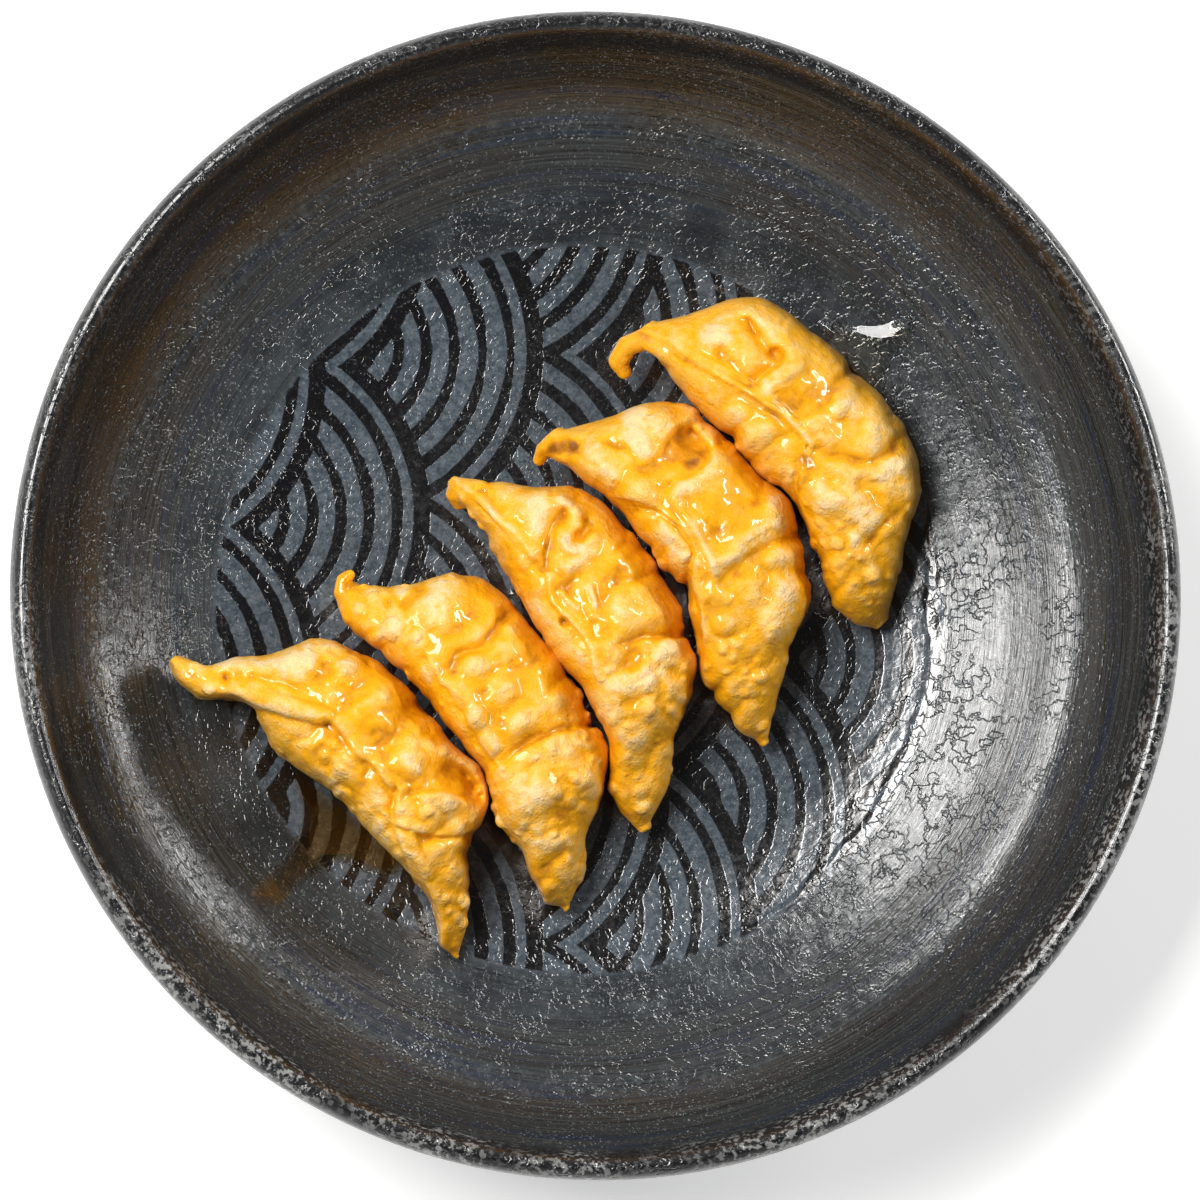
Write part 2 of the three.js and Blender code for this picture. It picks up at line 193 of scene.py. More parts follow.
world = bpy.data.worlds.new("studio")
world.use_nodes = True
sky = world.node_tree
direction = add_node(sky, "ShaderNodeTexCoord").outputs["Generated"]
height = add_node(sky, "ShaderNodeSeparateXYZ", {"Vector": direction}).outputs["Z"]
fade = spread(sky, height, *FADE_HEIGHTS, HORIZON_LIGHT, ZENITH_LIGHT)
toward = vector_calc(sky, "DOT_PRODUCT", direction, BRIGHT_SIDE)
share = calc(sky, "MULTIPLY_ADD", toward, SIDE_CONTRAST, 1.0)
background = sky.nodes["Background"]
background.inputs["Color"].default_value = ROOM_TINT
sky.links.new(calc(sky, "MULTIPLY", fade, share), background.inputs["Strength"])
bpy.context.scene.world = world
bpy.context.scene.view_settings.view_transform = "Standard"
print("the room is", round(HORIZON_LIGHT / ZENITH_LIGHT, 1), "times as bright at the horizon as overhead")

# %% [markdown]
# ## The surface it stands on
#
# A plain pale sheet with a barely visible mottle, so that it reads as a real surface and not a void.
# It glows a little, which is painted light: a fill from below that keeps the plate's shadow light and
# soft. A white backdrop without a sheet would give no shadow at all, and the plate would seem to float.

# %% Floor
FLOOR_REACH = 3.0           # metres each way
FLOOR_GLOW = 0.4
PAPER_TONES = (0.86, 0.86, 0.86), (0.9, 0.9, 0.9)

bpy.ops.mesh.primitive_grid_add(x_subdivisions=8, y_subdivisions=8, size=FLOOR_REACH * 2)
floor = bpy.context.object
floor.name = "studio_floor"
floor_material, tree, shader, local = start_material("pale_paper")
mottle = noise(tree, local, 0.06, detail=4)
paper = blend_colour(tree, mottle, *PAPER_TONES)
tree.links.new(paper, shader.inputs["Base Color"])
shader.inputs["Roughness"].default_value = 0.9
shader.inputs["Specular IOR Level"].default_value = 0.1
# painted light: the sheet glows as a fill that lightens the shadow
shader.inputs["Emission Color"].default_value = (1, 1, 1, 1)
shader.inputs["Emission Strength"].default_value = FLOOR_GLOW
floor.data.materials.append(floor_material)
print("floor reaches", FLOOR_REACH, "m each way")

# %% [markdown]
# ## Curves through a few sizes
#
# A plate's wall and a dumpling's outline are both smooth lines through a handful of measured points.
# Straight lines between them would show as facets, and an ordinary spline can swing out beyond them.
# `between` reads such a table at any place, on a curve that never overshoots its points.

# %% Reading a table smoothly
def between(rows, x, column=1):
    """The value of one column of a table at x, which is compared with the first column."""
    rows = np.asarray(rows, float)
    along = rows[:, 0]
    value = rows[:, column]
    step = np.diff(along)
    rise = np.diff(value) / step
    slope = np.concatenate([rise[:1], np.zeros(len(rise) - 1), rise[-1:]])
    before, after = rise[:-1], rise[1:]
    same_way = before * after > 0
    slope[1:-1][same_way] = (2 * before * after / (before + after + 1e-12))[same_way]
    i = np.clip(np.searchsorted(along, x) - 1, 0, len(step) - 1)
    t = np.clip((x - along[i]) / step[i], 0, 1)
    start = (2 * t**3 - 3 * t**2 + 1) * value[i] + (t**3 - 2 * t**2 + t) * step[i] * slope[i]
    return start + (3 * t**2 - 2 * t**3) * value[i + 1] + (t**3 - t**2) * step[i] * slope[i + 1]


# The plate's inner face as [radius, height].
INNER_FACE = [[0, 9], [35, 9.3], [60, 10.4], [77, 14], [86, 17], [89, 18.3], [92, 20.1], [95, 22], [98, 24],
              [100, 25.2], [102, 26.3], [104, 28], [108, 32.9], [113.5, 44.5]]
print("the middle of the floor is", between(INNER_FACE, 0.0), "mm up, the edge of it",
      round(float(between(INNER_FACE, 77.0)), 1), "mm")

# %% [markdown]
# ## The plate's profile
#
# A potter turns a plate against a profile. The profile runs from the middle of the base, round the
# foot ring, up the outside, over the lip and down the inside to the middle again. The potter's
# finger has left a slight shelf halfway up the inner wall, which gathers light as a narrow band.

# %% Plate profile
OUTER_FACE = [[53, 5], [66, 6.3], [78.5, 9.2], [92, 13.9], [103.3, 20.8], [112.2, 30.9], [118, 42.5]]
LIP = [[119.6, 47], [120, 49.8], [119.3, 52.5], [117.4, 54], [115.4, 53.1], [114.2, 49.3]]
FOOT_RING = [[45.6, 4], [46.6, 3.4], [47.2, 0.6], [47.8, 0], [51.2, 0], [51.9, 0.5], [52.4, 3.4]]
BASE_HEIGHT = 4.0       # of the hollow inside the foot ring
HOLLOW_RADIUS = 42      # its flat part
FACE_STEP = 1.1         # between points along the faces


def along_face(rows, step):
    """Points along a face, closer together where the wall is steep."""
    reach = rows[-1][0] - rows[0][0]
    height = abs(rows[-1][1] - rows[0][1])
    count = int(math.hypot(reach, height) / step)
    share = np.linspace(0, 1, count) ** 0.8
    radius = rows[0][0] + reach * share
    return np.column_stack([radius, between(rows, radius)])


def round_line(points, parts):
    """A smooth line through points, with several parts between each two."""
    points = np.asarray(points, float)
    padded = np.vstack([2 * points[0] - points[1], points, 2 * points[-1] - points[-2]])
    line = []
    for i in range(1, len(padded) - 2):
        for t in np.arange(parts) / parts:
            a, b, c, d = padded[i - 1:i + 3]
            line.append(0.5 * (2 * b + (c - a) * t + (2 * a - 5 * b + 4 * c - d) * t**2
                               + (3 * b - a - 3 * c + d) * t**3))
    line.append(padded[-2])
    return np.array(line)


outside = along_face(OUTER_FACE, FACE_STEP)
inside = along_face(INNER_FACE, FACE_STEP)[::-1]
rim = round_line([outside[-1], *LIP, inside[0]], parts=5)[1:-1]
hollow = np.linspace(0, HOLLOW_RADIUS, 8)
base = np.vstack([np.column_stack([hollow, np.full(len(hollow), BASE_HEIGHT)]), FOOT_RING])
profile = np.vstack([base, outside, rim, inside])
print("profile has", len(profile), "points and is", round(float(profile[:, 1].max()), 1), "mm high")

# %% [markdown]
# ## Turning the plate with Geometry Nodes
#
# A lathe or Screw modifier could turn the profile into a plate, but a node tree can also add what the
# potter's hand leaves. These helpers start a tree with named sizes, finish it with real geometry in
# its finish, and run it on an object to get a plain mesh.

# %% Geometry Nodes helpers
def start_tree(name, sizes):
    """A tree whose inputs are the sizes, each given as (kind of socket, value)."""
    tree = bpy.data.node_groups.new(name, "GeometryNodeTree")
    tree.interface.new_socket("Geometry", in_out="INPUT", socket_type="NodeSocketGeometry")
    for size, (kind, value) in sizes.items():
        socket = tree.interface.new_socket(size, in_out="INPUT", socket_type=kind)
        socket.default_value = value
    tree.interface.new_socket("Geometry", in_out="OUTPUT", socket_type="NodeSocketGeometry")
    return tree, tree.nodes.new("NodeGroupInput"), tree.nodes.new("NodeGroupOutput")


def finish_tree(tree, geometry, output, material):
    """Makes instances real and sets the finish, as the last two steps of a tree."""
    real = add_node(tree, "GeometryNodeRealizeInstances", {"Geometry": geometry})
    dressed = add_node(tree, "GeometryNodeSetMaterial", {"Geometry": real.outputs[0], "Material": material})
    tree.links.new(dressed.outputs[0], output.inputs[0])


def run_tree(start_object, tree, name, **sizes):
    """Puts the tree on an object, and returns what it makes as a plain mesh object."""
    modifier = start_object.modifiers.new(tree.name, "NODES")
    modifier.node_group = tree
    sockets = [item for item in tree.interface.items_tree if item.in_out == "INPUT"]
    identifiers = {item.name: item.identifier for item in sockets}
    for size, value in sizes.items():
        modifier[identifiers[size]] = value
    start_object.update_tag()
    bpy.context.view_layer.update()
    evaluated = start_object.evaluated_get(bpy.context.evaluated_depsgraph_get())
    mesh = bpy.data.meshes.new_from_object(evaluated)
    start_object.modifiers.remove(modifier)
    made = bpy.data.objects.new(name, mesh)
    mesh.name = name
    bpy.context.scene.collection.objects.link(made)
    return made


def mesh_object(name, points, faces, edges=()):
    mesh = bpy.data.meshes.new(name)
    mesh.from_pydata([tuple(point) for point in points], list(edges), faces)
    item = bpy.data.objects.new(name, mesh)
    bpy.context.scene.collection.objects.link(item)
    return item


print("helpers for node trees ready")

# %% [markdown]
# ## The potter's wheel
#
# A grid takes one column of points from the profile for each step round the circle, and each column
# is turned to its own angle. The grid's two ends meet and are merged, and so are its poles. Hand-thrown
# ware is never quite true, so the tree also adds shallow throwing rings and a slow wobble.

# %% The turning tree
SEAM_GAP = 1e-5             # metres: points closer than this are one


def turning_tree():
    tree, given, output = start_tree("turned_on_a_wheel", {
        "Turns": ("NodeSocketInt", 360),
        "Ring_Depth": ("NodeSocketFloat", 0.00006),
        "Ring_Spacing": ("NodeSocketFloat", 0.0032),
        "Wobble": ("NodeSocketFloat", 0.0003),
        "Seed": ("NodeSocketFloat", 3.0),
    })
    line = given.outputs["Geometry"]
    turns = given.outputs["Turns"]
    rows = add_node(tree, "GeometryNodeAttributeDomainSize", {"Geometry": line}).outputs["Point Count"]
    columns = calc(tree, "ADD", turns, 1.0)
    grid = add_node(tree, "GeometryNodeMeshGrid", {"Vertices X": columns, "Vertices Y": rows}).outputs[0]
    index = add_node(tree, "GeometryNodeInputIndex").outputs[0]
    row = calc(tree, "MODULO", index, rows)
    column = calc(tree, "FLOOR", calc(tree, "DIVIDE", index, rows))
    position = add_node(tree, "GeometryNodeInputPosition").outputs[0]
    sample = add_node(tree, "GeometryNodeSampleIndex", {
        "Geometry": line, "Value": position, "Index": row}, data_type="FLOAT_VECTOR")
    angle = calc(tree, "DIVIDE", calc(tree, "MULTIPLY", column, 2 * math.pi), turns)
    turned = add_node(tree, "ShaderNodeVectorRotate", {
        "Vector": sample.outputs["Value"], "Angle": angle}, rotation_type="Z_AXIS").outputs[0]
    placed = add_node(tree, "GeometryNodeSetPosition", {"Geometry": grid, "Position": turned}).outputs[0]
    merged = add_node(tree, "GeometryNodeMergeByDistance", {"Geometry": placed, "Distance": SEAM_GAP})
    return tree, given, output, merged.outputs[0], position


print("turning tree described")

# %% Throwing rings
RING_NOISE = 2.0
WOBBLE_SCALE = 11.0
TRUE_BELOW = 0.006          # metres: the foot ring stays flat
UNEVEN_ABOVE = 0.016


def throwing_rings(tree, given, geometry, position):
    """Pushes the wall and lip in a little, so that the box stays the model's."""
    parts = add_node(tree, "ShaderNodeSeparateXYZ", {"Vector": position}).outputs
    level = add_node(tree, "ShaderNodeCombineXYZ", {"X": parts["X"], "Y": parts["Y"]}).outputs[0]
    run = calc(tree, "ADD", vector_calc(tree, "LENGTH", level), parts["Z"])
    spiral = calc(tree, "DIVIDE", run, given.outputs["Ring_Spacing"])
    rings = add_node(tree, "ShaderNodeTexNoise", {
        "W": spiral, "Scale": 1.0, "Detail": RING_NOISE}, noise_dimensions="1D").outputs["Fac"]
    slow = add_node(tree, "ShaderNodeTexNoise", {
        "Vector": position, "W": given.outputs["Seed"], "Scale": WOBBLE_SCALE, "Detail": 1.0},
        noise_dimensions="4D").outputs["Fac"]
    wall = spread(tree, parts["Z"], TRUE_BELOW, UNEVEN_ABOVE)
    depth = calc(tree, "MULTIPLY", calc(tree, "SUBTRACT", rings, 1.0), given.outputs["Ring_Depth"])
    sway = calc(tree, "MULTIPLY", calc(tree, "SUBTRACT", slow, 1.0), given.outputs["Wobble"])
    push = calc(tree, "MULTIPLY", calc(tree, "ADD", depth, sway), wall)
    normal = add_node(tree, "GeometryNodeInputNormal").outputs[0]
    offset = vector_calc(tree, "SCALE", normal, push)
    return add_node(tree, "GeometryNodeSetPosition", {"Geometry": geometry, "Offset": offset}).outputs[0]


print("the wall is uneven above", UNEVEN_ABOVE / MM, "mm")

# %% [markdown]
# ## The plate's glaze
#
# The plate is dark stoneware under a blue-grey gloss. Four things make it read as that plate and not
# as plain black china: fine brushed lines that run round the wall, small pale specks of painted glint,
# an orange-peel skin that breaks up the reflections, and a painted pattern of overlapping waves on the
# floor. Every one is worked out from the place on the plate, so it stays put from any side.

# %% Glaze: where a point lies on the plate
def ring_places(tree, local):
    """The place in three numbers, the distance from the middle, and a vector that runs round it."""
    parts = add_node(tree, "ShaderNodeSeparateXYZ", {"Vector": local}).outputs
    level = add_node(tree, "ShaderNodeCombineXYZ", {"X": parts["X"], "Y": parts["Y"]}).outputs[0]
    return parts, vector_calc(tree, "LENGTH", level), vector_calc(tree, "NORMALIZE", level)


def brushed(tree, radius, height, outward, fineness, stretch, detail=3.0):
    """Noise drawn out round the plate, as fine lines left by a brush on a turning wheel."""
    around = vector_calc(tree, "SCALE", outward, stretch)
    run = calc(tree, "MULTIPLY", calc(tree, "ADD", radius, height), fineness)
    offset = add_node(tree, "ShaderNodeCombineXYZ", {"Z": run}).outputs[0]
    return noise(tree, vector_calc(tree, "ADD", around, offset), 1.0, detail=detail, roughness=0.6)


def between_radii(tree, radius, inner, outer):
    """1 in a ring round the plate, fading to 0 over each (start, end) pair of radii."""
    return calc(tree, "MULTIPLY", spread(tree, radius, *inner), spread(tree, radius, *outer))


print("places round the plate described")

# %% [markdown]
# ## The painted waves
#
# The potter painted rows of overlapping waves, each a fan of round lines, and each row covers the one
# behind it. An image could carry them, but would blur up close. Here they are sums: the distance to
# the nearest wave's middle gives the lines of one row, and the rows are laid over each other in turn.

# %% Glaze: the painted waves
WAVE_RADIUS = 42.0          # from a wave's middle to its outer line
WAVE_STEP = 63.0            # from one wave to the next in a row
# Each row of waves: its place across the plate, and where one of its waves is along the row.
# The first row lies on top, and each row covers the ones after it.
WAVE_ROWS = [[-98, -15.5], [-75.5, 19], [-51.5, -8.6], [-24.5, 22.4], [-6, -2.6], [16.5, 20.4],
             [39.5, -10.6], [63, 20.4], [86, -10.6]]
LINE_STEP = 6.0             # between two lines of a wave
FIRST_LINE = 5.0
LINE_WIDTH = 2.8
OUTER_LINE = 3.6
BRUSH_BLUR = 0.15           # how soft the edge of a line is
WAVE_OVERLAP = 0.1


def wave_distance(tree, parts, across, along):
    """The distance to the nearest wave's middle in one row."""
    dx = calc(tree, "SUBTRACT", parts["X"], float(across))
    shifted = calc(tree, "SUBTRACT", parts["Y"], float(along) - WAVE_STEP / 2)
    dy = calc(tree, "SUBTRACT", calc(tree, "FLOORED_MODULO", shifted, WAVE_STEP), WAVE_STEP / 2)
    squares = calc(tree, "ADD", calc(tree, "MULTIPLY", dx, dx), calc(tree, "MULTIPLY", dy, dy))
    return calc(tree, "SQRT", squares)


def band_shift(first_line):
    """Moves the lines of a wave outwards, so that the first one has its place."""
    return LINE_STEP * 1.5 - first_line


def stroke(tree, off, width):
    """1 where a point is less than half the width off the middle of a line."""
    return spread(tree, off, width / 2 + BRUSH_BLUR, width / 2 - BRUSH_BLUR)


def wave_lines(tree, parts, wobble, thinning):
    """1 on a painted line, 0 between: one pass for each row, from the last row to the first."""
    painted = None
    for across, along in reversed(WAVE_ROWS):
        distance = calc(tree, "ADD", wave_distance(tree, parts, across, along), wobble)
        shift = calc(tree, "ADD", distance, band_shift(FIRST_LINE))
        phase = calc(tree, "FLOORED_MODULO", shift, LINE_STEP)
        off = calc(tree, "ABSOLUTE", calc(tree, "SUBTRACT", phase, LINE_STEP / 2))
        line = stroke(tree, calc(tree, "ADD", off, thinning), LINE_WIDTH)
        edge = calc(tree, "ABSOLUTE", calc(tree, "SUBTRACT", distance, WAVE_RADIUS - OUTER_LINE / 2))
        lines = calc(tree, "MAXIMUM", line, stroke(tree, edge, OUTER_LINE))
        within = spread(tree, distance, WAVE_RADIUS + BRUSH_BLUR, WAVE_RADIUS - WAVE_OVERLAP)
        shown = calc(tree, "MULTIPLY", lines, within)
        if painted is None:
            painted = shown
        else:
            kept = calc(tree, "MULTIPLY", painted, calc(tree, "SUBTRACT", 1.0, within))
            painted = calc(tree, "ADD", kept, shown)
    return painted


print(len(WAVE_ROWS), "rows of waves,", WAVE_RADIUS, "mm in radius, with a line every", LINE_STEP, "mm")

# %% Glaze: the painted floor
FIELD_RADIUS = 77.5         # of the painted floor
FIELD_MIDDLE = (-1.45, -0.63, 0)
FIELD_BLUR = 0.3
RAGGEDNESS = 0.8            # how far a painted edge strays
THINNING = 1.6              # how much the width of a painted line changes
FLOOR_COLOURS = (0.034, 0.047, 0.062), (0.104, 0.128, 0.152)
PAINT = (0.004, 0.004, 0.005)


def painted_floor(tree, local, parts, wall):
    """Lays the mottled blue-grey floor and its brushed waves over the wall's colour."""
    centred = vector_calc(tree, "SUBTRACT", local, FIELD_MIDDLE)
    off_middle = vector_calc(tree, "LENGTH", vector_calc(tree, "MULTIPLY", centred, (1, 1, 0)))
    ragged = calc(tree, "MULTIPLY", calc(tree, "SUBTRACT", noise(tree, local, 0.7), 0.5), RAGGEDNESS)
    thinning = calc(tree, "SUBTRACT", noise(tree, local, 0.05, detail=2), 0.42)
    thinning = calc(tree, "MULTIPLY", thinning, THINNING)
    near = calc(tree, "ADD", off_middle, ragged)
    field = spread(tree, near, FIELD_RADIUS + FIELD_BLUR, FIELD_RADIUS - FIELD_BLUR)
    lines = calc(tree, "MULTIPLY", wave_lines(tree, parts, ragged, thinning), field)
    on_floor = spread(tree, off_middle, FIELD_RADIUS + 1.5, FIELD_RADIUS - 1.0)
    mottle = spread(tree, noise(tree, local, 0.7, detail=5, roughness=0.75), 0.34, 0.68)
    body = blend_colour(tree, on_floor, wall, blend_colour(tree, mottle, *FLOOR_COLOURS))
    return blend_colour(tree, lines, body, PAINT), lines, on_floor, off_middle


print("painted floor:", 2 * FIELD_RADIUS, "mm across")

# %% [markdown]
# ## The wall
#
# Outside the painted floor the glaze was brushed on while the wheel turned. Thin brown, grey and navy
# streaks run round the wall, so its colour is noise stretched into rings. The side turned away from the
# large soft box is browner, and darker as painted shade. Where the floor bends up into the wall, a
# paler and bluer ring is painted sheen. Halfway up runs a band where the glaze has gathered, finely
# crazed, and its pale islands are painted highlight.

# %% Glaze: the wall
GREY_STREAKS = (0.005, 0.007, 0.009), (0.040, 0.046, 0.048)
# painted shade: the brown streaks are darker than the grey ones, for the side away from the large soft box
SHADED_BROWN_STREAKS = (0.006, 0.005, 0.003), (0.042, 0.032, 0.020)
NAVY = (0.012, 0.020, 0.040)
# painted sheen: a paler, bluer ring where the floor bends up into the wall
SHEEN_RING_COLOURS = (0.014, 0.019, 0.023), (0.042, 0.052, 0.058)
# painted highlight: pale islands in the crazed band halfway up the wall
CRAZED_HIGHLIGHT = (0.075, 0.088, 0.095)
SHADED_BROWN_SIDE = (-0.78, 0.62, 0)
CRAZED_BAND = (97.0, 101.0), (106.0, 102.0)     # radii where it fades in, and out again
SHEEN_RING_RADII = (94.0, 84.0)
SHADED_BROWN_RADII = (95.0, 105.0)


def wall_colour(tree, local, parts, radius, outward):
    fine = brushed(tree, radius, parts["Z"], outward, fineness=2.3, stretch=2.6, detail=4.0)
    broad = brushed(tree, radius, parts["Z"], outward, fineness=0.32, stretch=1.7)
    streak = spread(tree, fine, 0.32, 0.68)
    # painted shade: browner and darker on the side turned away from the large soft box
    brown = spread(tree, vector_calc(tree, "DOT_PRODUCT", outward, SHADED_BROWN_SIDE), -0.3, 0.9)
    brown = calc(tree, "MULTIPLY", brown, spread(tree, noise(tree, local, 0.03), 0.36, 0.56))
    brown = calc(tree, "MULTIPLY", brown, spread(tree, radius, *SHADED_BROWN_RADII, 0.35, 1.0))
    greys = blend_colour(tree, streak, *GREY_STREAKS)
    wall = blend_colour(tree, brown, greys, blend_colour(tree, streak, *SHADED_BROWN_STREAKS))
    wall = blend_colour(tree, spread(tree, broad, 0.53, 0.66, 0.0, 0.8), wall, NAVY)
    # painted highlight: pale crazed islands in the band halfway up the wall
    crazed_highlight = spread(tree, noise(tree, local, 0.5, detail=5, roughness=0.7), 0.45, 0.7, 0.0, 0.6)
    crazed_highlight = calc(tree, "MULTIPLY", between_radii(tree, radius, *CRAZED_BAND), crazed_highlight)
    wall = blend_colour(tree, crazed_highlight, wall, CRAZED_HIGHLIGHT)
    # painted sheen on the ring where the floor bends up into the wall
    sheen_ring = spread(tree, radius, *SHEEN_RING_RADII)
    sheen_ring = calc(tree, "MULTIPLY", sheen_ring, spread(tree, fine, 0.2, 0.7, 0.2, 1.0))
    patches = spread(tree, noise(tree, local, 0.09, detail=4), 0.38, 0.62)
    return blend_colour(tree, sheen_ring, wall, blend_colour(tree, patches, *SHEEN_RING_COLOURS)), fine


print("crazed band:", CRAZED_BAND[0][1], "to", CRAZED_BAND[1][1], "mm from the middle")

# %% [markdown]
# ## Painted glints and the black lip
#
# The lip is nearly black, with pale blots of painted highlight on its near side. Small pale specks of
# painted glint lie over the glaze in loose flocks, where the orange-peel skin would catch the lamps.
# They are colour and not shape: small ragged dots round the points of a cell pattern, of which a share
# is left out.

# %% Glaze: painted glints and lip
LIP_HEIGHTS = (44.0, 48.0)          # where the black of the lip begins, and where it is full
LIP_BLACK = (0.008, 0.008, 0.009)
# painted glint: the colour of the small pale specks
GLINT_SPECK_COLOUR = (0.30, 0.33, 0.34)
# painted highlight: the pale blots on the lip's near side
LIP_HIGHLIGHT_COLOUR = (0.34, 0.34, 0.33)
NEAR_SIDE = (0.15, -1, 0)


def specks(tree, local, spacing, size, amount):
    """Ragged dots about `spacing` apart, of which a share of `amount` show."""
    jitter = add_node(tree, "ShaderNodeTexNoise", {"Vector": local, "Scale": 1.3, "Detail": 2.0})
    ragged = vector_calc(tree, "SCALE", jitter.outputs["Color"], 1.6)
    moved = vector_calc(tree, "ADD", local, ragged)
    cells = add_node(tree, "ShaderNodeTexVoronoi", {"Vector": moved, "Scale": 1 / spacing}).outputs
    dot = spread(tree, cells["Distance"], size, size * 0.4)
    chosen = add_node(tree, "ShaderNodeSeparateColor", {"Color": cells["Color"]}).outputs["Red"]
    return calc(tree, "MULTIPLY", dot, spread(tree, chosen, amount, 0.0, 0.0, 1.0, soft=False))


def glint_specks_and_lip(tree, local, parts, outward, body, lines):
    lip = spread(tree, parts["Z"], *LIP_HEIGHTS)
    body = blend_colour(tree, lip, body, LIP_BLACK)
    flock = spread(tree, noise(tree, local, 0.07), 0.4, 0.62, 0.25, 1.0)
    fine = specks(tree, local, spacing=0.7, size=0.36, amount=0.8)
    coarse = specks(tree, local, spacing=1.8, size=0.17, amount=0.55)
    shown = calc(tree, "SUBTRACT", 0.95, calc(tree, "MULTIPLY", lines, 0.6))
    # painted glint: pale specks in loose flocks over the glaze
    glint_specks = calc(tree, "MULTIPLY", calc(tree, "MAXIMUM", fine, coarse), flock)
    glint_specks = calc(tree, "MULTIPLY", glint_specks, shown)
    body = blend_colour(tree, glint_specks, body, GLINT_SPECK_COLOUR)
    # painted highlight: pale blots on the lip, strongest on its near side
    near = spread(tree, vector_calc(tree, "DOT_PRODUCT", outward, NEAR_SIDE), -0.9, 0.7, 0.15, 1.0)
    lip_highlight = calc(tree, "MULTIPLY", spread(tree, noise(tree, local, 0.035, detail=2), 0.35, 0.6), near)
    highlight_blots = calc(tree, "MULTIPLY", spread(tree, noise(tree, local, 0.75), 0.5, 0.6), lip_highlight)
    highlight_blots = calc(tree, "MULTIPLY", highlight_blots, calc(tree, "MULTIPLY", lip, 0.75))
    return blend_colour(tree, highlight_blots, body, LIP_HIGHLIGHT_COLOUR)


print("the lip is black above", LIP_HEIGHTS[0], "mm")

# %% [markdown]
# ## The skin of the glaze
#
# Thick glaze sets with an orange-peel skin: flat patches with winding furrows between them, broad
# ripples where it has run, and one stray furrow along the edge of the floor. Modelled in the mesh
# they would cost a great many faces, and only the reflections show them, so a bump map carries them.

# %% Glaze: gloss and skin
GLAZE_IOR = 1.75
GATHERED_BAND = (97.5, 100.5), (106.0, 102.5)   # the crazed band is smoother than the rest
RIPPLE_BAND = (58.0, 70.0), (95.0, 88.0)
CRAZED_FLOOR = (55.0, 82.0)                     # the furrows grow stronger towards the wall
EDGE_FURROW = 76.2
LATTICE_TILT = (0.6, 0.5, 0.3)                  # radians
# How much each part of the relief counts, of the bump's whole depth.
SKIN_SHARES = {"swell": 0.8, "furrows": 0.5, "ripples": 0.7, "edge": 0.55, "brush": 0.45, "paint": 0.12}


def gloss(tree, local, radius):
    rough = spread(tree, noise(tree, local, 0.8, detail=4), 0.3, 0.7, 0.15, 0.25)
    smoother = calc(tree, "MULTIPLY", between_radii(tree, radius, *GATHERED_BAND), 0.45)
    return calc(tree, "MULTIPLY", rough, calc(tree, "SUBTRACT", 1.0, smoother))


def furrows(tree, local, radius):
    # Noise lies on a lattice of cubes, which shows on a level floor as squares, so it is tilted.
    tilted = add_node(tree, "ShaderNodeVectorRotate", {"Vector": local, "Rotation": LATTICE_TILT},
                      rotation_type="EULER_XYZ").outputs["Vector"]
    winding = calc(tree, "ABSOLUTE", calc(tree, "SUBTRACT", noise(tree, tilted, 0.3, detail=2), 0.5))
    share = calc(tree, "MULTIPLY", spread(tree, noise(tree, local, 0.06, detail=1), 0.38, 0.55, 0.15, 1.0),
                 spread(tree, radius, *CRAZED_FLOOR, 0.25, 1.0))
    return calc(tree, "MULTIPLY", spread(tree, winding, 0.035, 0.0), share)


def edge_furrow(tree, local, off_middle):
    strayed = calc(tree, "MULTIPLY", calc(tree, "SUBTRACT", noise(tree, local, 0.045, detail=2), 0.5), 9.0)
    off = calc(tree, "SUBTRACT", calc(tree, "ADD", off_middle, strayed), EDGE_FURROW)
    return spread(tree, calc(tree, "ABSOLUTE", off), 1.3, 0.0)


def glaze_skin(tree, local, parts, radius, outward, off_middle):
    skin = calc(tree, "MULTIPLY", noise(tree, local, 0.22), SKIN_SHARES["swell"])
    cut = calc(tree, "MULTIPLY", furrows(tree, local, radius), SKIN_SHARES["furrows"])
    skin = calc(tree, "SUBTRACT", skin, cut)
    ripples = brushed(tree, radius, parts["Z"], outward, fineness=0.3, stretch=13.0, detail=2.0)
    ripples = calc(tree, "MULTIPLY", ripples, between_radii(tree, radius, *RIPPLE_BAND))
    skin = calc(tree, "ADD", skin, calc(tree, "MULTIPLY", ripples, SKIN_SHARES["ripples"]))
    edge = calc(tree, "MULTIPLY", edge_furrow(tree, local, off_middle), SKIN_SHARES["edge"])
    return calc(tree, "SUBTRACT", skin, edge)


print("furrow along the edge of the floor:", EDGE_FURROW, "mm from the middle")

# %% [markdown]
# ## The whole glaze
#
# The shader of a clear glaze is one glossy surface over a dark body. A second coat layer would mirror
# the room twice, so the body's own gloss does it, with the high index of a thick glassy glaze.

# %% Glaze: the material
SKIN_DEPTH = 0.0004         # metres


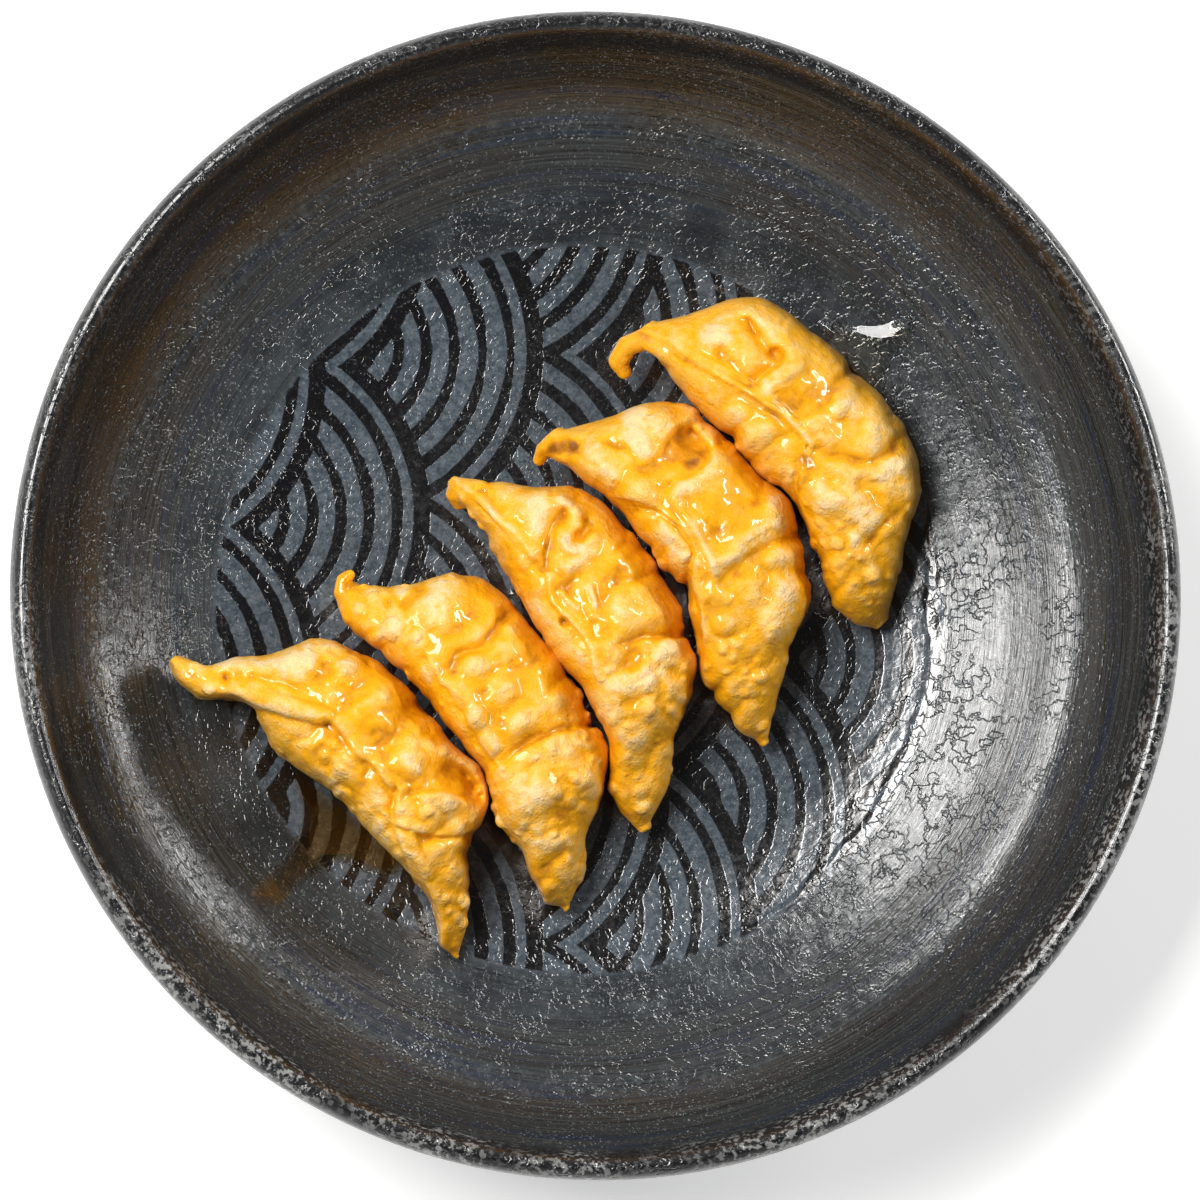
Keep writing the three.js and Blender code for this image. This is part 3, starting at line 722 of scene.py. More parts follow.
def glaze_material():
    material, tree, shader, local = start_material("glazed_stoneware")
    parts, radius, outward = ring_places(tree, local)
    wall, strokes = wall_colour(tree, local, parts, radius, outward)
    body, lines, on_floor, off_middle = painted_floor(tree, local, parts, wall)
    body = glint_specks_and_lip(tree, local, parts, outward, body, lines)
    tree.links.new(body, shader.inputs["Base Color"])
    tree.links.new(gloss(tree, local, radius), shader.inputs["Roughness"])
    shader.inputs["IOR"].default_value = GLAZE_IOR
    skin = glaze_skin(tree, local, parts, radius, outward, off_middle)
    brush = calc(tree, "MULTIPLY", strokes, calc(tree, "SUBTRACT", 1.0, on_floor))
    relief = calc(tree, "ADD", skin, calc(tree, "MULTIPLY", brush, SKIN_SHARES["brush"]))
    relief = calc(tree, "SUBTRACT", relief, calc(tree, "MULTIPLY", lines, SKIN_SHARES["paint"]))
    bump = add_node(tree, "ShaderNodeBump", {"Strength": 0.55, "Distance": SKIN_DEPTH, "Height": relief})
    tree.links.new(bump.outputs[0], shader.inputs["Normal"])
    return material


glaze = glaze_material()
print("glaze has", len(glaze.node_tree.nodes), "nodes")

# %% [markdown]
# ## Turning the plate
#
# The profile is laid out as a line of points, and the tree turns it with smooth shading. The tree is
# then used up: what stays is a plain mesh, which can ride on the model.

# %% Turn the plate
PLATE_TURNS = 300           # steps round the circle

upright = np.column_stack([profile[:, 0], np.zeros(len(profile)), profile[:, 1]]) * MM
blank = mesh_object("plate_profile", upright, [], [(i, i + 1) for i in range(len(profile) - 1)])
tree, given, output, turned, position = turning_tree()
uneven = throwing_rings(tree, given, turned, position)
smooth = add_node(tree, "GeometryNodeSetShadeSmooth", {"Geometry": uneven})
finish_tree(tree, smooth.outputs[0], output, glaze)
plate = run_tree(blank, tree, "turned_plate", Turns=PLATE_TURNS)
bpy.data.objects.remove(blank)
print("plate:", len(plate.data.polygons), "faces")

# %% [markdown]
# ## Dough
#
# A fried dumpling is a half-moon of dough round its filling. Its front is pleated, its back is a
# plain wall, and the two meet in a seam along the crest that ends in a curl at the head. Frying
# blows blisters and drives folds deep into the skin. Such a shape folds over itself, so it is built
# as a field: a number for every point of space, less than nothing inside the dough. Pieces of a
# field join and cut each other smoothly, which is how dough behaves. The skin is the surface where
# the number is nothing. Sculpting by hand would give the same folds, but could not be repeated.
#
# Nothing on dough is regular, so bumps of all sizes are needed: a lattice of random numbers, blended
# softly between its points, gives them.

# %% Soft random bumps
LATTICE = 32            # points before the bumps repeat


def lumps(size, seed, *places):
    """Smooth random values from -1 to 1, with bumps about `size` millimetres apart."""
    table = np.random.default_rng(seed).uniform(-1, 1, (LATTICE,) * len(places)).astype(np.float32)
    cells = [np.floor(place / size).astype(np.int32) for place in places]
    parts = [place / size - cell for place, cell in zip(places, cells)]
    parts = [part * part * (3 - 2 * part) for part in parts]
    total = 0
    for corner in itertools.product((0, 1), repeat=len(places)):
        weight = 1
        for part, side in zip(parts, corner):
            weight = weight * (part if side else 1 - part)
        spot = tuple((cell + side) % LATTICE for cell, side in zip(cells, corner))
        total = total + weight * table[spot]
    return total


def path_distance(path, x, y):
    """Distance to a path of straight stretches, and which side of it a point is on (+ is left)."""
    nearest = np.full(np.shape(x), 1e9)
    side = np.zeros(np.shape(x))
    for (ax, ay), (bx, by) in zip(path, path[1:]):
        length2 = (bx - ax) ** 2 + (by - ay) ** 2 + 1e-9
        t = np.clip(((x - ax) * (bx - ax) + (y - ay) * (by - ay)) / length2, 0, 1)
        distance = np.hypot(x - ax - t * (bx - ax), y - ay - t * (by - ay))
        left = np.sign((bx - ax) * (y - ay) - (by - ay) * (x - ax))
        side = np.where(distance < nearest, left, side)
        nearest = np.minimum(nearest, distance)
    return nearest, side


print("a bump field gives", round(float(lumps(3.0, 1, np.array(4.0), np.array(7.0))), 3), "at one place")

# %% [markdown]
# ## The five dumplings
#
# No two are alike, so each has a table of its own. `place`, `turn`, `lean` and `rows` are those of
# its solid: a row gives the place along the dumpling, its back and front edge, the line of its crest
# and its height. A path goes through [along, across] points, seen from above. `creases` are sharp
# folds pressed into the skin, `ridges` are soft raised lines, and `laps` are edges where the skin on
# the left of the path lies over the skin on its right. `lobes` are soft swellings, `blisters` are
# bubbles and `pits` are holes. `strands` are rolled edges of dough that lie on the skin, and `curl`
# is the free end at the head. `patches` are spots and streaks of colour: dry and pale where their
# number is above nothing, wet and golden below. Besides the dough's own pale and golden skin, they
# hold painted highlight on lobes turned to the large soft box, and painted shade in shaded valleys
# and pits. One big mesh sculpted by hand would hold the same facts, but a table can be read and changed.

# %% Dumpling tables
DUMPLINGS = {
    "dumpling_1": {
        "place": [4.3, 50.7, 9.4], "turn": -45.5, "lean": 0.16,
        "rows": [
            [0.5, 9, 13, 11, 17], [4, 8.2, 19.5, 12, 20], [8, 7.3, 28, 13, 23], [13, 6.6, 32.6, 14, 26],
            [20, 5.8, 35, 15.5, 28], [28, 7.2, 36.3, 17, 28.5], [36, 6.3, 36.3, 17.5, 28],
            [44, 7.2, 36.5, 16, 27.5], [52, 5.6, 36, 14.5, 27], [58, 3.2, 33.4, 13, 26],
            [65, 0.4, 28, 11, 24], [70, -2.2, 19.5, 8, 20], [75, -2.2, 11.5, 5, 15],
            [79.5, 0.2, 4.6, 2.4, 8],
        ],
        "creases": [
            ([[13.9, 26.9], [16, 26], [19.5, 25.5], [23, 26], [24.6, 25], [24.9, 22.5],
              [24.4, 19.5]], 0.9, 2.6),
            ([[36.6, 35], [36.8, 30], [37.2, 26.5]], 1.3, 1.5), ([[35.5, 22.5], [33.5, 19.6]], 2.2, 1.1),
            ([[55, 30.5], [54, 26.5], [51.5, 24], [48.9, 22.3], [46, 19.4], [43.5, 18]], 1.3, 2.0),
            ([[57.5, 20.2], [61, 19.2], [64.5, 20.6]], 2.0, 1.5),
            ([[64.9, 21], [64.8, 15], [64.8, 11.5]], 0.9, 1.1),
            ([[65.5, 13], [70, 10.8], [73.5, 7.5]], 0.9, 1.4),
            ([[39.6, 26.4], [41.5, 25.8], [43.2, 27]], 0.7, 0.8),
            ([[13, 17.4], [18, 18.3], [23, 17.8]], 1.2, 1.0),
            ([[29.8, 20.5], [32, 25], [31, 28.5]], 1.3, 0.8),
        ],
        "ridges": [
            ([[13.5, 28.2], [16.6, 28.9], [20.7, 29.6], [25.4, 29.2], [28.2, 27.6],
              [28.6, 24.5]], 1.6, 1.3),
            ([[27.2, 22.6], [27.5, 19.8]], 2.0, 0.8), ([[57.5, 29], [56.5, 25.5]], 1.8, 1.0),
            ([[65.8, 11.4], [71, 8.6]], 1.5, 1.0),
        ],
        "laps": [
            ([[1, 10], [6, 11.5], [12, 12.6], [20, 14.8], [28, 16.8], [35, 17.9],
              [41.5, 17.6]], 2.2, 1.3),
            ([[42.5, 16.5], [46, 11.6], [50, 7.8], [55, 5]], 2.2, 1.3),
            ([[55, 30.5], [53.5, 26], [49.5, 22.5], [45.5, 19]], 2.4, -0.6),
        ],
        "lobes": [
            [11.6, 19.8, 3.8, 1.2], [19, 21.8, 4.2, 1.4], [30.6, 27, 3.2, 0.9], [41, 29.4, 4, 1.5],
            [41.3, 22.4, 3.6, 1.0], [47.8, 32, 3.4, 0.9], [50.7, 29.6, 3.6, 1.0], [61.3, 27.6, 5, 1.1],
            [56, 15, 4.8, 1.4], [61.5, 15.5, 3.6, 1.0], [26.6, 11.2, 3, 1.2], [33.6, 10.6, 4, 1.7],
            [43, 10.2, 2.6, 0.9], [52, 12, 3.4, 0.8], [71.2, 8, 2.2, 0.9], [6, 15, 3, 0.5],
        ],
        "blisters": [
            [71.2, 8, 1.8, 0.7], [58.4, 10.6, 1.5, 0.5], [62.5, 10.9, 1.3, 0.5], [54.8, 7.9, 1.9, 0.6],
            [58.4, 5.3, 1.2, 0.5], [66, 8.5, 0.9, 0.4], [69, 4.5, 1.1, 0.4], [74.5, 3.5, 1.0, 0.4],
            [52, 10.8, 1.2, 0.4], [50, 8.6, 1.2, 0.5], [61.4, 7.4, 1.0, 0.4], [76.4, 1.6, 0.8, 0.3],
        ],
        "pits": [[23.2, 26.2, 1.4, 1.4], [34.6, 21.8, 2.2, 0.6]],
        "strands": [
            ([[4, 11.2], [10.7, 11.8], [15.4, 13.6], [22.5, 15.9], [29, 17.4], [33.6, 18.1],
              [41.3, 17.8]], 0.8, 0.4),
            ([[12, 14.4], [20, 16.8], [29, 19], [37, 19.4]], 0.55, 0.3),
            ([[19, 13.6], [27, 15.6], [36, 16.2]], 0.5, 0.35),
            ([[40.6, 17.2], [44.4, 13.6], [47, 9.6], [51.5, 6.8]], 0.9, 0.3),
        ],
        "patches": [
            ([[11.6, 19.6]], 3.2, 0.75), ([[15.5, 28.3], [19.5, 28.9]], 1.8, 0.4),
            ([[26, 19.5], [28, 19.2]], 1.5, 0.45), ([[27, 23]], 2.6, 0.2), ([[40.5, 29.5]], 3.4, 0.4),
            ([[49, 31.5], [52, 28]], 3, 0.25), ([[57, 27], [57.5, 24.5]], 2.4, 0.6),
            ([[61, 28]], 4, 0.15), ([[53, 15], [58, 16], [62.5, 15.5]], 4.4, 0.35),
            ([[62.5, 11]], 1.4, 0.5), ([[41, 22.6]], 3, 0.1), ([[33, 10.8]], 3, 0.12),
            ([[26.6, 11.4]], 2, 0.3), ([[43, 10.4]], 1.8, 0.25), ([[34, 18.3], [41, 18]], 0.7, 0.5),
            ([[54, 8], [60, 6]], 3, 0.15), ([[36.6, 35], [36.6, 30]], 1.8, -0.5),
            ([[37, 27], [35.5, 22.5], [33, 19.8]], 3.0, -0.55), ([[30.5, 27], [31.5, 22]], 2.2, -0.25),
            ([[13.9, 26.6], [19.5, 25.6], [24, 25.8]], 1.2, -0.55),
            ([[24.8, 23.5], [24, 18.5]], 1.3, -0.5), ([[14, 17.5], [20, 18.5], [24, 17.5]], 1.6, -0.35),
            ([[22, 16], [30, 17], [38, 16.2], [44, 14]], 1.6, -0.35),
            ([[44.5, 15], [47, 10.5], [52, 6.8], [58, 3.8]], 1.5, -0.5),
            ([[0, 2], [-0.5, 5], [1.5, 9]], 2.4, -0.35), ([[2, 0.2]], 1.6, -0.3),
            ([[5, 11], [10.5, 12], [16, 14]], 1.2, -0.4),
            ([[54.5, 29.5], [53.5, 26], [49, 22.4], [46, 19.4]], 1.3, -0.4),
            ([[58, 19.8], [61, 19.3], [64.5, 20.5]], 1.8, -0.3),
            ([[60, 2.4], [68, -0.6], [78, -0.8]], 2.2, -0.45), ([[66, 14.5], [72, 10.5]], 1.6, -0.25),
            ([[64.8, 20], [64.8, 11]], 0.9, -0.3),
        ],
        "curl": [
            [3.2, 0.6, 12, 1.6], [0.8, 1.4, 13, 2.2], [-0.1, 5, 15, 2.2], [1.6, 9, 17, 2.4],
            [7, 11, 19, 2.8],
        ],
    },
    "dumpling_2": {
        "place": [-12.1, 30.3, 9.3], "turn": -52, "lean": 0.13,
        "rows": [
            [-0.6, 4.4, 9, 6.5, 16], [3, 3.6, 18.8, 8, 20], [6, 4.6, 27.3, 9.5, 23],
            [11, 6, 32.4, 11.5, 25.5], [17, 6.8, 33.4, 13, 27], [24, 7.7, 35.2, 15, 28],
            [32, 7.9, 35.8, 16, 28], [40, 8.6, 36.8, 15.5, 28], [47, 5, 35.2, 13.5, 27],
            [53, 2.2, 31.5, 12, 25.5], [59, -0.2, 28.5, 10, 24], [64, -0.6, 20, 8, 21],
            [70, -0.8, 11.8, 5, 16], [77, 0.3, 2.4, 1.3, 8],
        ],
        "creases": [
            ([[16.5, 29.6], [20, 30], [23, 28.4], [23.8, 25.5], [22.6, 22], [22, 18]], 0.9, 1.5),
            ([[7.2, 14.2], [10.7, 16.4], [14, 17.2]], 1.0, 1.1),
            ([[46.2, 33.5], [45.4, 27], [45.2, 20], [45.6, 15.6]], 1.2, 2.0),
            ([[37.2, 14.4], [38.6, 11.8], [41.6, 8.8]], 0.8, 1.7),
            ([[27, 20.4], [32.5, 20.6], [38, 20]], 0.8, 0.9), ([[20.7, 10.4], [25.4, 14.2]], 0.7, 1.0),
            ([[64.5, 17.5], [64, 12], [62, 9.5]], 1.6, 1.3),
            ([[48.5, 24], [53, 21.8], [58, 22.8]], 1.3, 1.0),
        ],
        "ridges": [
            ([[14, 31.6], [20, 32.4], [24.4, 30], [25.6, 25], [24.6, 20.5]], 1.9, 1.2),
            ([[41.9, 33.5], [42.5, 29], [41.8, 25], [42.8, 21], [43.2, 17]], 2.3, 1.3),
            ([[25.4, 18.4], [31.3, 18.2], [37.2, 17.4], [43.6, 15.6]], 1.1, 0.7),
            ([[28.5, 12], [34, 13.4]], 1.2, 0.5),
        ],
        "laps": [
            ([[19, 9.5], [23, 13], [30, 15.4], [36.8, 14.6], [40.5, 10.8], [46, 8.5], [52, 5]], 2.4, 1.7),
        ],
        "lobes": [
            [6.6, 22.9, 3.6, 1.1], [10.5, 20, 3.2, 0.9], [13.3, 16.6, 2.6, 0.5], [9.5, 10.4, 3.8, 1.1],
            [19.5, 14, 3.9, 1.8], [12, 26, 3.4, 0.9], [33, 25, 5.5, 0.5], [37.8, 34, 3, 0.7],
            [28.5, 31, 3.6, 0.7], [48.9, 28.6, 3.4, 1.3], [54.8, 24.7, 4, 1.4], [51.3, 19.8, 3, 0.8],
            [57.8, 19.6, 4, 1.2], [61.5, 18, 3, 0.8], [30, 11.6, 3, 1.0], [36, 12.2, 3, 0.9],
            [46.5, 12.4, 3, 0.7], [66, 9, 4, 0.5],
        ],
        "blisters": [
            [52.5, 9.4, 3.6, 1.0], [66.3, 4.7, 1.9, 0.8], [74.2, 3.5, 2.2, 0.9], [59.2, 7.1, 1.4, 0.5],
            [60.5, 4.4, 1.1, 0.4], [56.3, 6.2, 1.0, 0.4], [63, 7.6, 0.9, 0.4], [52.4, 11.4, 1.2, 0.4],
            [70, 4.4, 1.0, 0.35], [49, 14.2, 1.4, 0.4], [57, 12, 0.9, 0.35], [69, 8, 0.8, 0.3],
        ],
        "pits": [
            [18.6, 26, 3.8, 1.9], [16.4, 27, 2.4, 0.8], [18.2, 21.5, 2.8, 1.1], [2.4, 6.6, 2.0, 1.5],
        ],
        "strands": [
            ([[25.4, 17.6], [31.3, 17.6], [37.2, 16.9], [43.2, 15.3]], 0.8, 0.35),
            ([[21, 10.8], [23.4, 13], [25.4, 14.4]], 0.6, 0.2),
        ],
        "patches": [
            ([[6.6, 22.5], [10.5, 20]], 3.4, 0.9), ([[12, 26.5]], 2.6, 0.35),
            ([[7, 11], [13, 11]], 2.6, 0.4), ([[14, 19]], 1.8, 0.3),
            ([[24.6, 29], [25.4, 24.5], [24.4, 20.5]], 2.0, 0.4), ([[28, 26]], 2, 0.25),
            ([[19.5, 14]], 2.6, 0.15), ([[42.4, 32], [42.4, 26], [43, 19]], 2.3, 0.35),
            ([[37.8, 35]], 1.6, 0.4), ([[48.9, 28.8]], 2, 0.35), ([[54, 25.5], [57, 24]], 2.8, 0.5),
            ([[57, 19.5], [62, 17]], 3.4, 0.2), ([[30, 12.2], [36.5, 12.6]], 2.2, 0.45),
            ([[31.5, 17.9], [43, 16]], 0.9, 0.45), ([[64, 14], [72, 6]], 4, -0.15),
            ([[16.8, 27], [20, 25.6]], 3.2, -0.8), ([[21.5, 28], [22.8, 24.5]], 1.6, -0.5),
            ([[18, 22], [17.6, 17.8], [15.8, 14.5]], 2.2, -0.5),
            ([[7.2, 14.2], [10.7, 16.4], [14, 17.2]], 1.0, -0.35), ([[33.5, 24.5]], 4.8, -0.6),
            ([[30, 31.5], [24, 33.5]], 3.4, -0.35), ([[36, 31], [38.5, 26]], 2.4, -0.3),
            ([[46.5, 13.5], [49.5, 11]], 3, -0.35), ([[54.5, 29.6], [57.5, 28]], 1.8, -0.6),
            ([[45.6, 24], [46, 16]], 1.2, -0.3), ([[26, 17], [30, 15.6]], 1.8, -0.45),
            ([[52.5, 9.4]], 3.2, -0.15), ([[1.8, 5], [3, 7.6]], 2.2, -1.0), ([[4.2, 8.9]], 1.5, -0.6),
            ([[0.4, 1], [0.4, 3.4]], 1.6, -0.6), ([[73.5, -0.6], [76.5, 0.6]], 1.5, -0.6),
            ([[56, 3], [66, -0.2]], 1.6, -0.4), ([[22, 10], [26, 9.4]], 1.6, -0.3),
            ([[60, 28], [66, 20], [72, 12]], 2.0, -0.15),
        ],
        "curl": [[0.9, 0.6, 11, 1.3], [0, 2.8, 13, 1.8], [0.7, 6.5, 15.5, 2.4], [4, 9, 18, 3]],
    },
    "dumpling_3": {
        "place": [-30.5, 22.9, 9.2], "turn": -60, "lean": 0.11,
        "rows": [
            [-1.2, 1, 3.4, 2.2, 14], [3, 1.4, 9.6, 5, 18], [8, 2.4, 16, 7.5, 21], [13, 3.1, 25, 9, 24],
            [20, 2.4, 28.4, 10, 26], [28, 2.8, 29.8, 11, 27], [36, 2.2, 31, 11.5, 27.5],
            [44, 3.2, 30.8, 11, 27.5], [51, 4.8, 29.5, 11, 27], [58, 4.6, 26.8, 10, 26],
            [65, 2.2, 20.5, 8.5, 23], [71, -1.2, 13.7, 5.5, 18], [77, -2, 9, 3, 14],
            [81.5, -0.6, 2, 0.8, 8],
        ],
        "creases": [
            ([[16.8, 19.8], [17.6, 17], [19.6, 14.4], [22, 12], [24.2, 10.2]], 1.0, 2.3),
            ([[21.2, 23.2], [22.6, 20.8], [23.6, 19.4]], 1.1, 2.0),
            ([[31.2, 29], [33, 24], [36.4, 20.5], [37.6, 16.6]], 1.7, 1.5),
            ([[24.2, 10.2], [28, 12.2], [33, 12.4], [40, 12.6]], 0.8, 1.2),
            ([[29, 14.8], [31.5, 11.5]], 0.8, 1.0),
            ([[52, 29.5], [50, 24], [48, 21], [46.6, 16]], 1.2, 2.2),
            ([[66, 13.5], [68.5, 10.5], [71, 8]], 1.2, 1.4), ([[76.4, 4.4], [77.4, 1.4]], 0.8, 1.0),
            ([[4, 7.6], [9, 8.4]], 0.8, 1.0), ([[58.3, 13.4], [58.8, 10.8]], 1.0, 1.2),
        ],
        "ridges": [
            ([[15.2, 21.6], [18, 22], [20.4, 21.4]], 1.3, 1.1),
            ([[24.4, 22.5], [25, 18.5], [23.4, 16.4], [21, 16]], 1.0, 1.5),
            ([[26.8, 21], [27.2, 15.5]], 1.1, 0.8), ([[33.1, 16.9], [37.2, 15.7]], 0.7, 0.9),
            ([[30.7, 10.9], [34.8, 12]], 0.7, 0.7), ([[54.6, 22.5], [55.2, 16], [54.6, 12]], 1.8, 1.1),
            ([[44, 10.5], [52, 10], [62, 8.6]], 2.4, 0.7),
        ],
        "laps": [
            ([[0, 3.2], [8, 6.2], [18, 8.2], [24.4, 9.6], [30, 7.6], [36.5, 8.6], [43, 9.4],
              [50, 8]], 2.2, 1.5),
            ([[52.4, 30], [50, 24], [48, 20.5], [46.8, 16.5]], 2.4, 1.5),
        ],
        "lobes": [
            [12.5, 15, 3.8, 1.1], [16.4, 13, 2.2, 0.6], [22, 17.4, 1.9, 0.8], [27.6, 14.4, 2.4, 1.0],
            [31.5, 25, 4, 0.8], [41.5, 22.5, 5, 1.3], [44, 26.5, 3.2, 0.8], [39, 13.8, 3, 0.7],
            [44.5, 13, 3, 0.6], [52.5, 23.8, 3, 1.1], [55.4, 15.6, 3.6, 1.2], [61.3, 14.7, 2.6, 1.5],
            [60.7, 21.8, 3.2, 1.1], [57.5, 26, 2.4, 0.8], [64.5, 18, 2.2, 0.7], [10, 11.5, 3, 0.6],
            [66, 7, 4, 0.6], [78.2, 2.6, 2.4, 0.8], [56, 7.8, 4, 0.6],
        ],
        "blisters": [
            [78.4, 2.6, 2.0, 0.7], [0.8, 4.4, 1.5, 0.5], [3, 2.6, 1.5, 0.6], [6.8, 2.4, 1.7, 0.7],
            [10, 2.9, 1.5, 0.6], [5.5, 5.2, 1.3, 0.5], [61.3, 14.7, 1.9, 0.6], [59, 24, 1.1, 0.4],
            [62.5, 22, 1.0, 0.4], [64.5, 15.6, 0.9, 0.35], [67.5, 12.5, 1.0, 0.35], [72, 5, 1.0, 0.3],
        ],
        "pits": [[50.1, 16.4, 2.6, 2.2], [36.6, 7.6, 1.0, 1.6], [22.4, 20.2, 1.3, 0.9]],
        "strands": [
            ([[0, 3.8], [6, 5.6], [14, 7.4], [22, 9]], 0.9, 0.3),
            ([[33.1, 16.6], [37.2, 15.4]], 0.5, 0.3), ([[30.7, 10.6], [34.8, 11.7]], 0.5, 0.25),
        ],
        "patches": [
            ([[12.3, 15], [16, 14]], 2.4, 0.85), ([[14, 20.8], [18, 21.6]], 1.3, 0.3),
            ([[21.4, 17.5], [23.6, 17.2], [24.8, 18.8]], 1.0, 0.9), ([[26.6, 20], [27.4, 15]], 1.3, 0.4),
            ([[8, 11]], 2.6, 0.1), ([[8, 6.5], [16, 7.8]], 1.6, 0.3),
            ([[30, 5], [38, 5.2], [46, 6.4]], 2.2, 0.4), ([[52.4, 24], [55, 20], [55.4, 15.5]], 2.6, 0.6),
            ([[50, 11], [58, 9.6], [66, 7.6]], 3.4, 0.35), ([[60.7, 21.5]], 2.6, 0.25),
            ([[40.6, 19.4]], 1.5, 0.35), ([[33.2, 16.6], [37, 15.4]], 0.6, 0.6),
            ([[30.8, 10.6], [34.6, 11.7]], 0.6, 0.5), ([[72, 6], [76, 3.6]], 2.4, 0.12),
            ([[17, 19.6], [17.8, 16.8], [20.4, 13.6], [24, 10.4]], 1.2, -0.7),
            ([[21.6, 22.6], [23, 20.2]], 1.4, -0.65), ([[27, 29.5], [31.5, 26]], 3.4, -0.35),
            ([[33, 24], [35, 19]], 2.2, -0.5), ([[36.5, 26]], 3, -0.2), ([[42, 21]], 1.6, -0.25),
            ([[30, 13], [36, 13.2], [44, 12.8]], 2.4, -0.4), ([[28, 10], [33, 8.6]], 1.8, -0.45),
            ([[47, 17], [48.6, 21], [51, 26]], 1.2, -0.4), ([[50.2, 16.4]], 2.2, -0.6),
            ([[36.6, 7.6]], 1.0, -1.1), ([[58.4, 11.8]], 1.4, -0.6),
            ([[59.5, 26.2], [62.5, 24.5]], 1.7, -0.6), ([[61.6, 14.4]], 1.6, -0.2),
            ([[18, 5], [22, 4], [25, 6]], 1.8, -0.3), ([[64, 2.6], [70, -0.8], [77, -1.6]], 2.2, -0.45),
            ([[0, 1], [2.6, 0]], 1.6, -0.3), ([[44, 4.6], [50, 5.6]], 1.6, -0.25),
        ],
        "curl": [[3.2, 0.8, 10.5, 1.3], [1.2, 1.2, 12.5, 1.8], [1.2, 3.2, 14, 2.1], [4, 6, 17, 2.8]],
    },
    "dumpling_4": {
        "place": [-52.8, 3, 9.2], "turn": -55.5, "lean": 0.09,
        "rows": [
            [0, -0.6, 2.6, 1, 15], [4, -3, 6, 1.5, 18], [8, -3.3, 11.5, 3, 21], [11, -2.7, 20.8, 4.5, 23],
            [16, -1, 25.4, 6.5, 25.5], [23, 0.5, 27.7, 8.5, 27], [31, 1.4, 28.4, 9, 28],
            [39, 1.8, 29, 9, 28], [47, 2.9, 28.5, 8.5, 27.5], [54, 1.2, 27.6, 8, 27],
            [61, -0.5, 26, 7, 26], [67, 0, 20.5, 5.5, 23], [74, -2.1, 11.5, 3, 18],
            [79, -2, 7.5, 1.5, 13], [82.5, 0, 2, 1, 8],
        ],
        "creases": [
            ([[25, 25.5], [26.8, 21], [27.8, 17], [26.4, 13.6], [28, 10]], 0.9, 2.2),
            ([[10.6, 14], [11, 11], [11.2, 8.4]], 1.0, 1.5),
            ([[54, 26.4], [51.4, 21], [49.8, 16.5], [49.4, 11.8], [50.4, 8.4]], 1.2, 2.1),
            ([[72.6, 6.6], [73, 2.2]], 0.9, 1.5), ([[36, 6.6], [42, 5.8], [47, 5.6]], 0.8, 1.1),
            ([[35.5, 27], [36.5, 22.5]], 1.8, 0.7), ([[33.6, 18], [34, 13.5]], 1.2, 0.6),
            ([[41.6, 18], [41.4, 13]], 1.4, 0.6), ([[1, 1.6], [3.4, 3.2]], 0.9, 1.0),
        ],
        "ridges": [
            ([[31, 8], [35, 9], [42, 8.4], [47, 7.6]], 1.2, 1.0),
            ([[55, 25], [53, 20], [52.4, 14]], 2.0, 1.0),
        ],
        "laps": [
            ([[24, 7.2], [30, 6.6], [38, 6.2], [46, 6.0], [51, 6.6]], 2.0, 1.1),
            ([[54.4, 27], [51.6, 21], [50, 16.5], [49.6, 11.8], [50.6, 7]], 2.4, 1.3),
        ],
        "lobes": [
            [15.4, 16.4, 6, 2.0], [19.5, 14, 3, 0.6], [30.7, 14.3, 2.8, 0.9], [37, 16.4, 3.4, 1.0],
            [44.8, 15.6, 3.2, 1.0], [32, 21.6, 3.6, 0.8], [44, 23, 4, 0.9], [39.5, 8.4, 2.4, 0.8],
            [26, 6.2, 2.2, 0.6], [59.5, 10, 4.6, 1.2], [57, 18, 4, 0.8], [63.5, 20, 4, 0.7],
            [60.5, 4, 3.4, 0.7], [77, 4, 2.6, 0.8], [76.6, 0.4, 1.8, 0.6], [67.5, 6, 3, 0.6],
        ],
        "blisters": [
            [14.2, 4.1, 3.0, 1.4], [18.6, 7.6, 1.9, 0.9], [8, 11.2, 1.4, 0.6], [9.6, 9.6, 1.0, 0.4],
            [3.1, 4.1, 1.2, 0.5], [6, 4.8, 1.6, 0.6], [60.1, 0, 1.9, 1.0], [56.5, 1.2, 1.0, 0.4],
            [64, 1.8, 1.0, 0.4], [23.4, 1.6, 1.2, 0.5], [33, 4, 1.3, 0.5], [45, 4.6, 1.4, 0.5],
            [68.5, 7.8, 1.0, 0.4], [78, 6, 0.9, 0.3],
        ],
        "pits": [
            [8.9, 5.9, 0.9, 0.9], [66, 11.8, 3.6, 1.4], [36, 11.6, 0.9, 0.5], [43, 11.4, 0.9, 0.5],
            [26.6, 13.2, 1.1, 0.7],
        ],
        "strands": [([[31.3, 7.6], [34.8, 8.6], [38, 7.8]], 0.6, 0.3)],
        "patches": [
            ([[13, 16], [17, 14.5]], 3.4, 0.5), ([[12, 21]], 2.6, 0.15), ([[14.2, 4.1]], 2.7, 0.5),
            ([[18.6, 7.6]], 1.7, 0.45), ([[9.4, 10]], 1.4, 0.5), ([[5.5, 4.6]], 1.8, 0.3),
            ([[30.7, 14.2]], 2, 0.35), ([[36.8, 16.2]], 2.6, 0.25), ([[45, 15.5], [45.5, 22]], 1.8, 0.25),
            ([[39.5, 8.4]], 1.9, 0.3), ([[25, 6], [27.5, 4.8]], 1.2, 0.4),
            ([[44, 8.6], [48.6, 9]], 1.6, 0.3), ([[54, 22], [54, 14]], 2.6, 0.3),
            ([[57, 8], [62, 5], [68, 4]], 3.4, 0.4), ([[60, 10]], 2.4, 0.45), ([[61, 22]], 3.6, 0.2),
